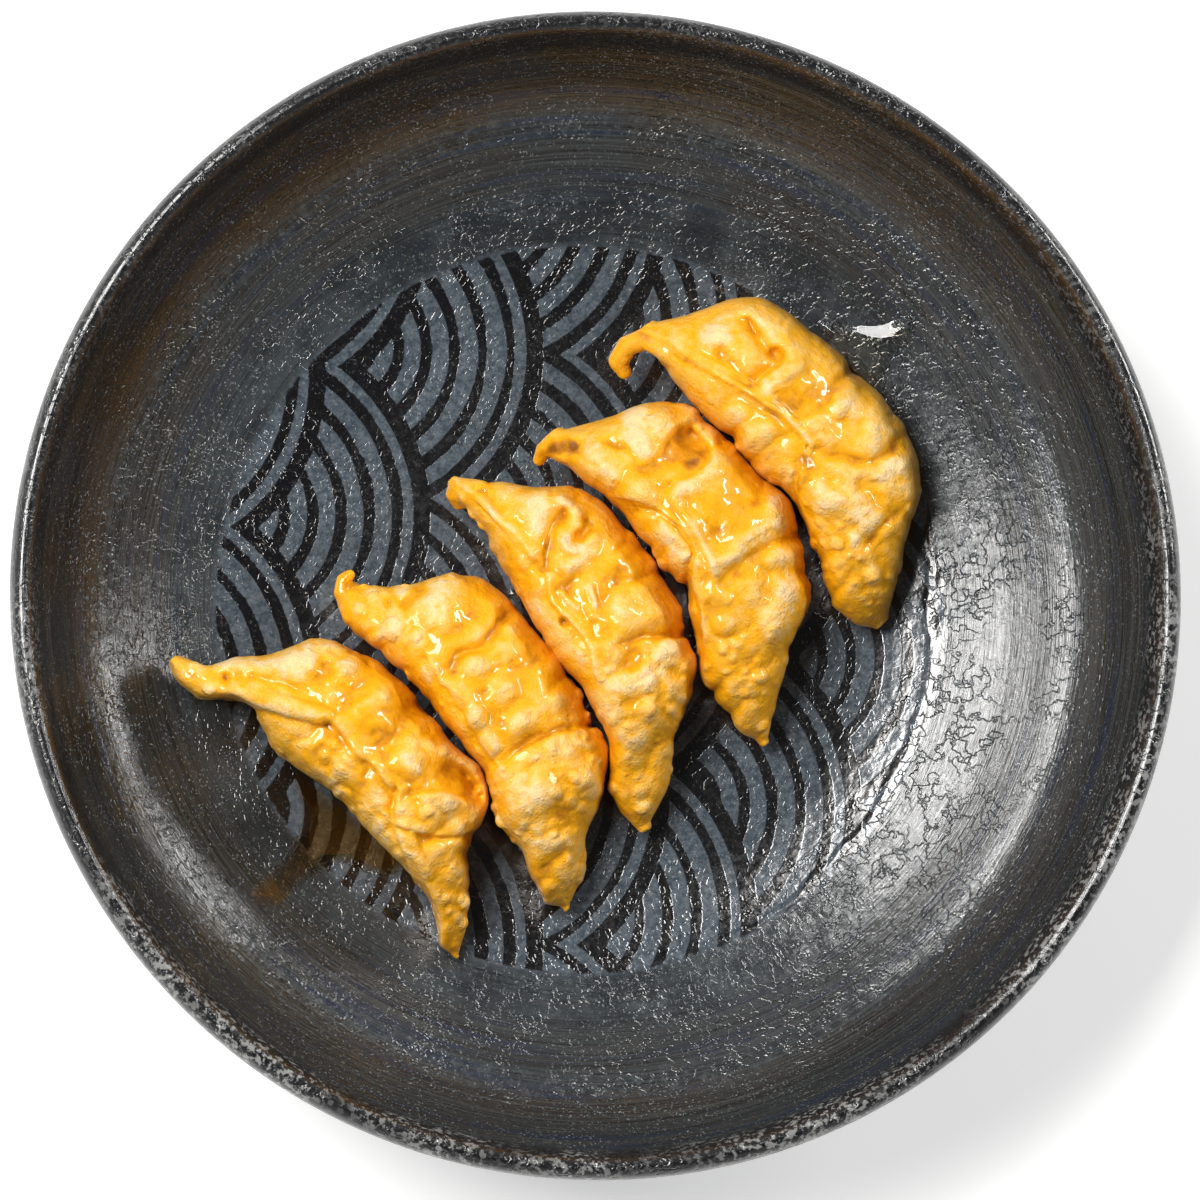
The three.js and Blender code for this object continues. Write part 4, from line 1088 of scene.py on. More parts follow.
            ([[40, 4], [44, 3.4]], 1.2, 0.2),
            ([[25, 26], [26.8, 21], [27.8, 17], [26.4, 13.4], [28, 9.4]], 1.5, -0.6),
            ([[10.6, 14], [11, 9]], 1.3, -0.55), ([[20, 18], [22, 11]], 2.4, -0.3),
            ([[32, 26], [44, 27]], 3.4, -0.35), ([[36.5, 23], [37, 19.6]], 2.6, -0.45),
            ([[33, 11], [41, 10.4], [48, 12]], 2.0, -0.35),
            ([[51.6, 22], [49.8, 16], [49.4, 11]], 1.1, -0.45), ([[65.8, 11.8]], 2.8, -0.35),
            ([[8.9, 5.9]], 0.8, -0.9), ([[-1, 2.4], [1.4, -1.4], [8, -3.4], [12, -2.6]], 1.6, -0.5),
            ([[72.8, 5.6], [73, 2]], 1.0, -0.4), ([[77.6, 0.4]], 1.4, -0.6),
            ([[72, 0], [77, -1.6]], 1.6, -0.5), ([[24, 2], [30, 3], [36, 2.4], [50, 3.6]], 1.6, -0.4),
            ([[55, 27], [60, 25.4]], 1.8, -0.3), ([[20, 24.5], [26, 28]], 2.6, -0.25),
        ],
        "curl": [[-0.4, 3.2, 17, 1.1], [-0.2, 1.4, 16, 1.6], [1.8, -0.2, 15.5, 2], [6, 0, 16, 3]],
    },
    "dumpling_5": {
        "place": [-86.7, -15.4, 11.5], "turn": -46, "lean": 0.06,
        "rows": [
            [-1, 0.4, 2.5, 1.4, 17.5], [3, -0.7, 4.8, 2, 20], [7, -0.7, 11.3, 4, 21.5],
            [11, 2.6, 17.2, 7.5, 23], [15, 6, 25, 11, 25], [20, 4.9, 28.3, 13, 26.5],
            [26, 3.4, 31, 14.5, 27.5], [34, 4.5, 32.4, 15.5, 27.5], [43, 5.7, 32, 15, 27],
            [51, 5.5, 30.7, 14, 26.5], [58, 5.4, 30.4, 12.5, 25.5], [64, 6, 27, 11, 23],
            [70, 5, 17, 9, 19], [76, 3, 11, 6, 14.5], [80, 0, 7, 3, 10.5], [83.3, 0.1, 1.6, 0.8, 7],
        ],
        "creases": [
            ([[7, 5], [9, 6.6], [12, 10.4], [16, 13.8], [20, 16]], 0.8, 1.4),
            ([[39.6, 31], [39.4, 27.5], [41.4, 24], [42, 20.5]], 1.6, 1.8),
            ([[50, 15.6], [54.6, 11.4], [57.8, 12.6], [62, 15.2], [63.8, 17.6]], 0.8, 1.6),
            ([[1, 1.8], [4.6, 1.6]], 0.8, 1.0), ([[21.5, 17], [23.2, 20.5], [21.8, 24]], 1.3, 1.0),
            ([[52, 17.8], [55.4, 22.2], [60.7, 25.6]], 0.8, 1.7), ([[66, 15.5], [69.6, 18.4]], 1.0, 1.0),
            ([[31, 25], [29, 20.5]], 1.6, 0.7), ([[61, 12], [68, 8.6], [76, 5.6]], 0.7, 0.9),
        ],
        "ridges": [
            ([[51.5, 29.6], [57.8, 30.8], [62.5, 29.8], [65, 26.8], [65, 23.5]], 1.3, 1.6),
            ([[53, 18], [56.2, 21.8], [61.5, 24.8]], 1.1, 1.3),
            ([[57, 12.4], [63, 9.4], [70, 7.2], [77, 4]], 1.6, 1.0),
            ([[29, 17.4], [36, 17.4], [43, 17.2], [49, 16.4]], 1.6, 0.6),
            ([[6, 7.6], [10, 12.4], [13.6, 16.8]], 1.4, 0.8),
        ],
        "laps": [
            ([[9, 2.5], [14, 5.6], [20, 8.8], [26, 12.4], [29, 15.4], [34, 15.9], [39, 15.4],
              [44, 15.9], [49.5, 14.8]], 2.8, 1.6),
            ([[50, 15.6], [52.6, 13], [54.8, 11], [57.8, 12.4], [62, 15], [64.8, 18.4],
              [66.5, 22]], 2.2, 2.6),
            ([[52, 11], [58, 9.2], [66, 5.6]], 1.8, 1.2),
        ],
        "lobes": [
            [16.6, 20, 4, 1.2], [24.2, 25.4, 3, 0.9], [18.8, 26, 2.8, 0.6], [33.1, 28, 3.6, 0.9],
            [34, 22, 3.6, 0.7], [46.6, 23.6, 4.6, 1.7], [49, 28.4, 3, 0.8], [57.4, 20.4, 3.8, 1.5],
            [27.5, 19.6, 2.4, 0.7], [53.8, 14.6, 2.6, 0.8], [38, 11, 4, 0.4], [21, 12, 3, 0.5],
            [70, 13, 3, 0.7], [66.5, 17, 3, 0.7],
        ],
        "blisters": [
            [63.6, 19.7, 2.5, 1.1], [2.2, 3.5, 2.1, 0.9], [0.6, 1.6, 1.2, 0.5], [7.6, 2.4, 1.5, 0.6],
            [76.6, 10, 1.9, 0.8], [79.4, 6.6, 1.9, 0.9], [73, 7.6, 1.4, 0.6], [63, 10, 0.9, 0.4],
            [66.4, 8.6, 1.0, 0.4], [69, 9.2, 0.9, 0.4], [75.4, 6, 0.9, 0.4], [60.4, 11.2, 0.8, 0.3],
            [72.5, 12.3, 1.0, 0.4], [57.5, 17.5, 1.2, 0.4], [60.6, 22.4, 1.0, 0.35],
        ],
        "pits": [
            [57.8, 27.2, 3.2, 2.3], [61, 28.2, 1.8, 0.8], [54.6, 25.6, 2.2, 1.2], [8.9, 6.4, 0.9, 1.7],
            [3, 1.6, 0.9, 0.8],
        ],
        "strands": [
            ([[11, 5.6], [15.4, 8.4], [22.5, 12.4], [28, 15.8], [31, 17.2]], 2.1, 0.8),
            ([[56, 12.6], [61, 10.6], [68, 8.2], [77, 4.4]], 1.4, 0.4),
        ],
        "patches": [
            ([[15.5, 17.5], [17, 22]], 2.8, 0.8), ([[24.2, 26]], 1.9, 0.4), ([[18.5, 26.8]], 2, 0.2),
            ([[5, 7], [9.4, 12], [13, 16.4]], 1.4, 0.45), ([[13, 6.4], [20, 10.4], [26, 14]], 1.7, 0.25),
            ([[8, 2.5]], 1.2, 0.5), ([[1.9, 3.6]], 1.6, 0.15), ([[33, 29]], 1.6, 0.15),
            ([[46.4, 22.4], [49, 22]], 1.3, 0.7), ([[44, 25.6]], 1.4, 0.2),
            ([[57, 21], [60.5, 21.5]], 2.4, 0.3), ([[63.6, 19.8]], 2.0, 0.35), ([[53.5, 14.4]], 1.5, 0.3),
            ([[21, 8.6], [28, 9.6]], 2.6, 0.2), ([[37.6, 11], [40, 8]], 3, 0.3),
            ([[48, 12], [52, 8.6], [58, 7.6]], 3, 0.3), ([[62, 9.6], [70, 7.4]], 1.2, 0.2),
            ([[76.6, 10]], 1.4, 0.3), ([[68, 14]], 2.4, 0.1), ([[22.4, 20], [21.4, 23]], 2.0, -0.4),
            ([[28, 24.5], [32, 21]], 3, -0.35), ([[28, 30], [36, 32]], 2.6, -0.25),
            ([[39.5, 29.5], [40, 26], [41.5, 22]], 2.4, -0.6), ([[36, 24.5], [37.5, 19.6]], 2.6, -0.45),
            ([[44, 19], [50, 18.8]], 2.2, -0.4), ([[51.5, 24], [54, 24]], 2.6, -0.5),
            ([[57, 27.4], [60.5, 28]], 2.2, -0.85), ([[52, 17.8], [55.4, 22]], 0.8, -0.4),
            ([[32, 13.6], [32.4, 7.6]], 2.0, -0.55), ([[43.6, 13.4], [44.4, 8.6]], 1.3, -0.6),
            ([[8.9, 6.4]], 1.1, -1.0), ([[3, 1.6]], 0.9, -0.7), ([[10, 3.2], [14, 5]], 1.4, -0.3),
            ([[66.4, 22], [68.4, 18]], 2.0, -0.4), ([[78, 2.4], [82, 1]], 2.2, -0.45),
            ([[66, 6], [74, 4]], 1.6, -0.3), ([[28, 17.8], [24, 16]], 1.6, -0.3),
            ([[30, 16.2], [38, 15.8], [49, 15.4]], 1.3, -0.3), ([[36, 27.4], [30, 27]], 2.4, -0.2),
        ],
        "curl": [[0.8, 1.8, 17, 1.4], [3.4, 2.4, 18, 2.2], [8, 4, 19, 2.8]],
    },
}
lengths = {name: shape["rows"][-1][0] - shape["rows"][0][0] for name, shape in DUMPLINGS.items()}
print("lengths in mm:", lengths)

# %% [markdown]
# ## The relief of one skin
#
# All the folds of one dumpling are drawn first on a flat map that gives, for every spot seen from
# above, how far the skin stands out. Real folds are never ruled lines, so the map is drawn on
# slightly warped paper. Dry skin is also puffed up in small cushions with sharp valleys between,
# which is what the size of a random bump, without its sign, looks like.

# %% Relief: where a spot lies on the map
MAP_STEP = 0.2
MARGIN = 6.0


def smooth_step(value, low, high):
    t = np.clip((value - low) / (high - low), 0, 1)
    return t * t * (3 - 2 * t)


def painted(patches, x, y):
    """Soft spots and streaks, each (path, half its width, amount)."""
    total = np.zeros(x.shape)
    for path, wide, amount in patches:
        distance, _ = path_distance([*path, path[-1]], x, y)
        total += amount * np.exp(-((distance / wide) ** 2.4))
    return np.clip(total, -1.2, 1.0)


def map_places(shape, seed):
    """The lines of the map, and where each of its points lies on the warped paper."""
    rows = np.array(shape["rows"])
    x = np.arange(rows[0, 0] - MARGIN, rows[-1, 0] + MARGIN, MAP_STEP)
    y = np.arange(rows[:, 1].min() - MARGIN, rows[:, 2].max() + MARGIN, MAP_STEP)
    gx, gy = np.meshgrid(x, y, indexing="ij")
    wx = gx + 0.6 * lumps(5.5, seed, gx, gy) + 0.25 * lumps(2.1, seed + 1, gx, gy)
    wy = gy + 0.6 * lumps(5.5, seed + 2, gx, gy) + 0.25 * lumps(2.1, seed + 3, gx, gy)
    return x, y, wx, wy


def read_map(x, y, grid, at_x, at_y):
    """Value of the map at any places, blended between its four nearest points."""
    i = np.clip((at_x - x[0]) / MAP_STEP, 0, len(x) - 1.001)
    j = np.clip((at_y - y[0]) / MAP_STEP, 0, len(y) - 1.001)
    i0, j0 = i.astype(np.int32), j.astype(np.int32)
    fi, fj = (i - i0).astype(np.float32), (j - j0).astype(np.float32)
    low = grid[i0, j0] * (1 - fj) + grid[i0, j0 + 1] * fj
    high = grid[i0 + 1, j0] * (1 - fj) + grid[i0 + 1, j0 + 1] * fj
    return low * (1 - fi) + high * fi


TRIAL_SEED = 100
trial = DUMPLINGS["dumpling_1"]
trial_x, trial_y, *_ = map_places(trial, TRIAL_SEED)
print("one map has", len(trial_x), "x", len(trial_y), "points")

# %% [markdown]
# ## Folds, laps and lobes
#
# A crease is narrow at its bottom and rounds over at its edges, as skin does when it is pressed in.
# A lap stands up on one side of its path and drops on the other. Soft lobes are domes. Each of them
# is a short formula of the distance to its path, so that it can be drawn in any direction.

# %% Relief: folds
LOBE_GAIN = 1.05        # how much prouder the soft swellings stand than their plain solid
CREASE_GAIN = 1.35
RIDGE_GAIN = 0.8
PIT_GAIN = 0.8
LAP_EDGE = 0.35         # how sharp the edge of a lap is


def crease(distance, wide, deep):
    out = np.clip(np.hypot(distance, 0.42 * wide) / (1.6 + 2.0 * wide), 0, 1)
    return CREASE_GAIN * deep * (1 - np.sqrt(1 - (1 - out) ** 2))


def lap(distance, side, wide, high):
    over = 0.5 + 0.5 * np.tanh(distance * side / LAP_EDGE)
    rim = np.exp(-((distance / (0.6 * wide)) ** 2))
    return high * (0.5 * over * rim - 0.4 * (1 - over) * np.exp(-distance / (0.45 * wide)))


def folds(shape, wx, wy):
    rise = np.zeros(wx.shape)
    for path, wide, deep in shape["creases"]:
        distance, _ = path_distance(round_line(path, 4), wx, wy)
        rise -= crease(distance, wide, deep)
    for path, wide, high in shape["ridges"]:
        distance, _ = path_distance(round_line(path, 4), wx, wy)
        rise += RIDGE_GAIN * high * np.exp(-((distance / (1.2 * wide)) ** 2))
    for path, wide, high in shape["laps"]:
        distance, side = path_distance(round_line(path, 4), wx, wy)
        rise += lap(distance, side, wide, high)
    for along, across, radius, high in shape["lobes"]:
        off = ((wx - along) ** 2 + (wy - across) ** 2) / (1.25 * radius) ** 2
        rise += LOBE_GAIN * high * np.clip(1 - off, 0, 1) ** 1.5
    for along, across, radius, deep in shape["pits"]:
        off = ((wx - along) ** 2 + (wy - across) ** 2) / radius**2
        rise -= PIT_GAIN * deep * np.exp(-(off**1.5))
    return rise


print("a crease 1 mm deep presses its bottom in by", round(float(crease(np.array(0.0), 1.0, 1.0)), 2), "mm")

# %% [markdown]
# ## Blisters and cushions
#
# Hot oil drives steam out of the dough, which leaves small round blisters in flocks, more of them
# where the skin is dry and near the thin tail. They are scattered by a seeded rule, so the same
# ones come back each time.

# %% Relief: blisters and the whole map
BUBBLES = 700           # places tried for a blister on each dumpling
DOME_REACH = 10         # map points that a blister may cover each way
CUSHION_LEVEL = 0.58    # taken off, so that cushions leave the size of the dumpling as it was


def bubbles(x, y, seed, crowd):
    """Small round blisters, in flocks where `crowd` is high, as domes on the map."""
    random = np.random.default_rng(seed)
    rise = np.zeros((len(x), len(y)))
    for _ in range(BUBBLES):
        along, across = random.uniform(x[0], x[-1]), random.uniform(y[0], y[-1])
        radius = random.uniform(0.55, 1.0) * random.uniform(0.9, 2.0)
        chance = random.uniform()
        i, j = int((along - x[0]) / MAP_STEP), int((across - y[0]) / MAP_STEP)
        if chance > crowd[i, j]:
            continue
        near_i = slice(max(i - DOME_REACH, 0), i + DOME_REACH + 1)
        near_j = slice(max(j - DOME_REACH, 0), j + DOME_REACH + 1)
        off = (x[near_i, None] - along) ** 2 + (y[None, near_j] - across) ** 2
        dome = 0.42 * radius * np.clip(1 - off / radius**2, 0, 1) ** 0.8
        rise[near_i, near_j] = np.maximum(rise[near_i, near_j], dome)
    return rise


def cushions(wx, wy, seed):
    """Puffed cushions all over the skin, and the small wrinkles of its dry parts."""
    busy = 0.35 + 0.65 * smooth_step(lumps(11.0, seed + 3, wx, wy), -0.4, 0.5)
    large = 1.1 * np.abs(lumps(6.5, seed + 4, wx, wy)) + 0.6 * busy * np.abs(lumps(3.5, seed + 5, wx, wy))
    small = busy * (0.22 * lumps(1.6, seed + 6, wx, wy) + 0.1 * lumps(1.0, seed + 7, wx, wy))
    small += 0.5 * busy * np.abs(lumps(2.3, seed + 13, wx, wy))
    return large, small


def relief_map(shape, seed):
    x, y, wx, wy = map_places(shape, seed)
    # The patches hold the dough's own colour, and painted highlight and painted shade as well.
    tint = painted(shape["patches"], wx + 0.35 * lumps(1.4, seed + 11, wx, wy), wy)
    dry = np.clip(0.6 + 0.9 * tint, 0.38, 1)
    tail = smooth_step(wx, 42, 66)
    crowd = np.clip(lumps(8.0, seed + 9, wx, wy) + 0.7 * dry + 0.5 * tail - 0.85, 0, 1)
    large, small = cushions(wx, wy, seed)
    rise = folds(shape, wx, wy) + 0.5 * lumps(9.5, seed + 8, wx, wy) + large - CUSHION_LEVEL + dry * small
    return x, y, rise + bubbles(x, y, seed + 10, crowd), tint


trial_map = relief_map(trial, TRIAL_SEED)
print("one relief map runs from", round(float(trial_map[2].min()), 1), "to",
      round(float(trial_map[2].max()), 1), "mm")

# %% [markdown]
# ## The field of one dumpling
#
# The plain body is an oval section that changes along the dumpling. Its field is roughly the
# distance to the skin, so taking the relief from it raises or presses the skin by that much. The
# relief fades out under the widest line, where the flank turns in towards the plate.

# %% Body field
CAP = 0.8               # rounding where the body ends at head and tail
WIDEST_SHARE = 0.36     # how far up between its bottom and top a section is widest
ROUND_ABOVE = 2.35      # 2 is an ellipse, and more is squarer
ROUND_BELOW = 3.5
HEAD_LIFT = 10.5        # how far the underside rises at the head
TAIL_LIFT = 3.5


def body_field(shape, relief, x, y_seen, z):
    """y_seen is the place across as seen from above, with the lean of the dumpling taken out."""
    rows = np.array(shape["rows"])
    start, end = rows[0, 0], rows[-1, 0]
    here = np.clip(x, start, end)
    back, front, crest, top = [between(rows, here, column).astype(np.float32) for column in (1, 2, 3, 4)]
    bottom = HEAD_LIFT * (1 - smooth_step(here - start, 0, 20))
    bottom = bottom + TAIL_LIFT * (1 - smooth_step(end - here, 0, 12))
    widest = (bottom + (top - bottom) * WIDEST_SHARE).astype(np.float32)
    across = y_seen - crest
    upper = z > widest
    u = np.abs(across) / np.where(across > 0, front - crest, crest - back)
    v = np.abs(z - widest) / np.where(upper, top - widest, widest - bottom.astype(np.float32))
    power = np.where(upper, np.float32(ROUND_ABOVE), np.float32(ROUND_BELOW))
    rho = np.maximum((u**power + v**power) ** (1 / power), 1e-3)
    field = np.hypot(across, z - widest) * (1 - 1 / rho)
    past = np.abs(x - here).astype(np.float32)
    field = np.where(past > 0, np.hypot(np.maximum(field + CAP, 0), past) - CAP, field)
    return field - read_map(*relief[:3], x, y_seen) * (0.35 + 0.65 * smooth_step(z - widest, -6, 1))


def on_skin(shape, relief, x, y_seen):
    """The point of the skin at one spot of the map, and the direction that points out of it there."""
    z = np.arange(42, 4, -0.1)
    column = body_field(shape, relief, np.full(z.shape, float(x)), np.full(z.shape, float(y_seen)), z)
    inside = np.nonzero(column < 0)[0]
    spot = np.array([x, y_seen, z[inside[0]] if len(inside) else 14.0])
    reach = 0.5
    for _ in range(4):
        probe = spot + reach * np.vstack([np.zeros(3), np.eye(3), -np.eye(3)])
        values = body_field(shape, relief, probe[:, 0], probe[:, 1], probe[:, 2])
        out = values[1:4] - values[4:7]
        out /= np.linalg.norm(out) + 1e-9
        spot = spot - values[0] * out
    return spot, out


print("dumpling_1 is", round(float(on_skin(trial, trial_map, 30, 20)[0][2]), 1), "mm high in its middle")

# %% [markdown]
# ## Balls and tubes of dough
#
# A blister is a ball, and the curl at the head and the rolled edges are tubes. Where two pieces of
# dough touch they grow together with a soft fillet. A plain union would leave a hard line there, so
# the fields are joined over a short distance.

# %% Joining fields
def join(first, second, softness):
    """The nearer of two fields, with a soft fillet where they meet."""
    near = np.maximum(softness - np.abs(first - second), 0) / softness
    return np.minimum(first, second) - near * near * softness / 4


def ball(centre, radius, x, y, z):
    return np.sqrt((x - centre[0]) ** 2 + (y - centre[1]) ** 2 + (z - centre[2]) ** 2) - radius


def tube(points, x, y, z):
    """A rounded tube through [x, y, z, radius] points."""
    field = np.full(np.broadcast_shapes(x.shape, y.shape, z.shape), 1e3, np.float32)
    for start, end in zip(points, points[1:]):
        a, b = np.array(start[:3], float), np.array(end[:3], float)
        d = b - a
        t = np.clip(((x - a[0]) * d[0] + (y - a[1]) * d[1] + (z - a[2]) * d[2]) / (d @ d), 0, 1)
        off = np.sqrt((x - a[0] - t * d[0]) ** 2 + (y - a[1] - t * d[1]) ** 2 + (z - a[2] - t * d[2]) ** 2)
        field = np.minimum(field, off - (start[3] + (end[3] - start[3]) * t))
    return field


print("two fields 1 mm apart join to", join(np.array(0.5), np.array(-0.5), 1.0))

# %% [markdown]
# ## Adding what lies on the skin
#
# Strands and blisters only change the field close to the skin, so they are worked out for the
# grid points in a thin band there, which saves most of the time.

# %% Dough field
BAND = (-4.5, 2.6)      # how deep inside and how far outside the skin the details reach
CURL_REACH = 14.0       # the curl changes the dumpling only this near to its head
BELLY = 12.0            # the height at which a leaning dumpling is not shifted
REST_GAP = 0.06         # between the dough and the glaze


def details(shape, relief, seed, field, x, y, z):
    """The field with strands, blisters and the finest grain of the skin."""
    for path, thick, lift in shape["strands"]:
        line = round_line(path, 3)
        route = []
        for share, (px, py) in zip(np.linspace(0, 1, len(line)), line):
            spot, out = on_skin(shape, relief, px, py)
            narrowed = thick * (0.35 + 0.65 * min(1, 4 * share, 4 - 4 * share))
            route.append([*(spot + out * (lift - 0.6 * thick)), narrowed])
        field = join(field, tube(route, x, y, z), 0.7)
    for bx, by, radius, high in shape["blisters"]:
        spot, out = on_skin(shape, relief, bx, by)
        field = join(field, ball(spot - out * (radius - high), radius, x, y, z), 0.4)
    return field - 0.08 * lumps(1.3, seed + 12, x, y, z)


def plate_point(shape, x, y):
    """Where a point of the dumpling lies on the plate, seen from above."""
    turn = math.radians(shape["turn"])
    return (shape["place"][0] + x * math.cos(turn) - y * math.sin(turn),
            shape["place"][1] + x * math.sin(turn) + y * math.cos(turn))


def dough_field(shape, relief, seed, x, y, z):
    """x, y, z are open grids in the dumpling's frame. Returns the field on the full grid."""
    y_seen = y + shape["lean"] * (z - BELLY)
    field = body_field(shape, relief, x, y_seen, z).astype(np.float32)
    head = int(np.searchsorted(x.ravel(), CURL_REACH))
    field[:head] = join(field[:head], tube(shape["curl"], x[:head], y_seen, z), 1.6)
    band = (field > BAND[0]) & (field < BAND[1])
    full = [np.broadcast_to(axis, field.shape)[band].astype(np.float32) for axis in (x, y_seen, z)]
    field[band] = details(shape, relief, seed, field[band], *full)
    px, py = plate_point(shape, x, y)
    ground = between(INNER_FACE, np.hypot(px, py)) + REST_GAP - shape["place"][2]
    return np.maximum(field, (ground - z).astype(np.float32))


print("details reach from", -BAND[0], "mm under the skin to", BAND[1], "mm over it")

# %% [markdown]
# ## From field to skin
#
# The field is worked out on a fine grid of points. Wherever it changes sign inside a small cell, the
# skin passes through, so that cell gets a vertex at the average of the crossings on its edges, and
# neighbouring cells are joined by a face. This is the surface-nets method, and it gives an even skin.

# %% Surface nets
def shifted_part(array, corner):
    """The values at one corner of every cell."""
    return array[tuple(slice(c, n - 1 + c) for c, n in zip(corner, array.shape))]


def surface_net(field, origin, step):
    inside = field < 0
    shape = tuple(n - 1 for n in field.shape)
    sums = np.zeros(shape + (3,), np.float32)
    count = np.zeros(shape, np.int8)
    for first in itertools.product((0, 1), repeat=3):
        for axis in [i for i in range(3) if not first[i]]:
            second = tuple(c + (i == axis) for i, c in enumerate(first))
            at = np.nonzero(shifted_part(inside, first) != shifted_part(inside, second))
            a = shifted_part(field, first)[at]
            b = shifted_part(field, second)[at]
            point = np.tile(np.array(first, np.float32), (len(a), 1))
            point[:, axis] += a / (a - b)
            sums[at] += point
            count[at] += 1
    cells = np.nonzero(count)
    number = np.full(shape, -1, np.int32)
    number[cells] = np.arange(len(cells[0]))
    points = np.array(origin) + step * (np.column_stack(cells) + sums[cells] / count[cells][:, None])
    return points, net_faces(inside, number)


def net_faces(inside, number):
    """One face between four cells, for each edge of the grid that the skin passes through."""
    quads = []
    for axis in range(3):
        one, two = [i for i in range(3) if i != axis]
        low = [slice(1, n - 1) for n in inside.shape]
        low[axis] = slice(0, inside.shape[axis] - 1)
        high = list(low)
        high[axis] = slice(1, inside.shape[axis])
        here, there = inside[tuple(low)], inside[tuple(high)]
        for mask, flip in ((here & ~there, False), (~here & there, True)):
            at = np.array(np.nonzero(mask))
            at[one] += 1
            at[two] += 1
            ring = []
            for back_one, back_two in ((0, 0), (1, 0), (1, 1), (0, 1)):
                cell = at.copy()
                cell[one] -= back_one
                cell[two] -= back_two
                ring.append(number[tuple(cell)])
            quad = np.column_stack(ring)
            quads.append(quad[:, ::-1] if flip != (axis == 1) else quad)
    return np.vstack(quads)


def relax(points, faces, amount):
    """Moves each point a little towards the middle of its neighbours."""
    edges = np.vstack([faces[:, [i, (i + 1) % 4]] for i in range(4)])
    edges = np.vstack([edges, edges[:, ::-1]])
    degree = np.bincount(edges[:, 0], minlength=len(points))[:, None]
    total = [np.bincount(edges[:, 0], weights=points[edges[:, 1], axis], minlength=len(points))
             for axis in range(3)]
    return points + amount * (np.column_stack(total) / degree - points)


print("surface nets ready")

# %% [markdown]
# ## Laying a dumpling in the plate
#
# Each field is worked out in the dumpling's own frame, with its head at the start. The plate's floor
# cuts it flat underneath, a hair above the glaze, so that it rests without sinking in.

# %% Dumpling builder
GRID_STEP = 0.345
RELAX = 0.22            # how far each vertex moves towards its neighbours, to even out the net


def dumpling_mesh(name, shape, relief, seed):
    rows = np.array(shape["rows"])
    low = np.array([rows[0, 0] - 5, rows[:, 1].min() - 6, -3.0])
    high = np.array([rows[-1, 0] + 4, rows[:, 2].max() + 4, rows[:, 4].max() + 6])
    axes = [np.arange(a, b, GRID_STEP).astype(np.float32) for a, b in zip(low, high)]
    x, y, z = np.meshgrid(*axes, indexing="ij", sparse=True)
    points, faces = surface_net(dough_field(shape, relief, seed, x, y, z), low, GRID_STEP)
    points = relax(points, faces, RELAX)
    seen = points[:, 1] + shape["lean"] * (points[:, 2] - BELLY)
    px, py = plate_point(shape, points[:, 0], points[:, 1])
    placed = np.column_stack([px, py, points[:, 2] + shape["place"][2]]) * MM
    item = mesh_object(name, placed, faces.tolist())
    item.data.shade_smooth()
    return item, points[:, 0], seen


print("each grid cell of the dough is", GRID_STEP, "mm wide")

# %% [markdown]
# ## Where the dough is pale, golden or wet
#
# Raised skin dries and stays cream. Hollows hold oil and turn gold, then orange, and are painted darker
# still as shade. Two numbers are kept at every vertex for the material to read: `tone`, from dark brown
# to cream, and `wet`, from dry to glossy. They come from the relief map, less its own blurred self, and
# from named patches.

# %% Tone and wetness
GOLDEN_LEAST = 0.25       # creases go no darker than this: only the darkest patches, in pits and hollows, do


def blurred(grid, reach):
    """The map seen through a soft round window."""
    width = int(3 * reach / MAP_STEP)       # three times the reach holds nearly all of the window
    window = np.exp(-0.5 * (np.arange(-width, width + 1) * MAP_STEP / reach) ** 2)
    window /= window.sum()
    for axis in (0, 1):
        padded = np.pad(grid, [(width, width) if i == axis else (0, 0) for i in (0, 1)], mode="edge")
        grid = sum(weight * np.take(padded, range(i, i + grid.shape[axis]), axis=axis)
                   for i, weight in enumerate(window))
    return grid


def tone_maps(shape, relief):
    """Maps of tone and wetness: raised skin is pale, creases darker as painted shade, and named patches add
    to it.
    """
    x, y, rise, tint = relief
    gx, gy = np.meshgrid(x, y, indexing="ij")
    rise = rise + painted([([spot[:2]], spot[2], spot[3]) for spot in shape["blisters"]], gx, gy)
    soft = blurred(rise, 1.0)
    # Ridges dry pale and hollows hold golden oil, and creases are also painted darker as shade.
    raised = np.clip(rise - soft, -0.35, 0.5) + 0.35 * np.clip(soft - blurred(soft, 2.6), -1.2, 1.0)
    palest = 0.68 + 0.5 * np.maximum(tint, 0)
    fried = 0.54 + 0.42 * raised + 0.5 * np.maximum(tint, -0.6)
    fried = np.clip(fried, GOLDEN_LEAST, palest)
    tone = fried + 0.45 * np.minimum(tint + 0.6, 0)
    wet = np.clip(0.42 - 1.1 * tint - 0.3 * raised, 0, 1)
    return tone, wet


def store(item, name, values):
    attribute = item.data.attributes.new(name, "FLOAT", "POINT")
    attribute.data.foreach_set("value", np.ascontiguousarray(values, np.float32))


print("tone and wetness described")

# %% [markdown]
# ## Five skins from five fields
#
# Each dumpling is made once, with a seed of its own, so that its blisters and wrinkles differ from
# its neighbours'. Copies of one dumpling, turned a little, would be quicker, and would look it.

# %% Make the dumplings
SEED_STEP = 100

dough = {}
for number, (name, shape) in enumerate(DUMPLINGS.items(), start=1):
    seed = SEED_STEP * number
    relief = relief_map(shape, seed)
    item, along, across = dumpling_mesh("fried_" + name, shape, relief, seed)
    for label, grid in zip(("tone", "wet"), tone_maps(shape, relief)):
        store(item, label, read_map(relief[0], relief[1], grid, along, across))
    dough[name] = item
    print(item.name, len(item.data.polygons), "faces")

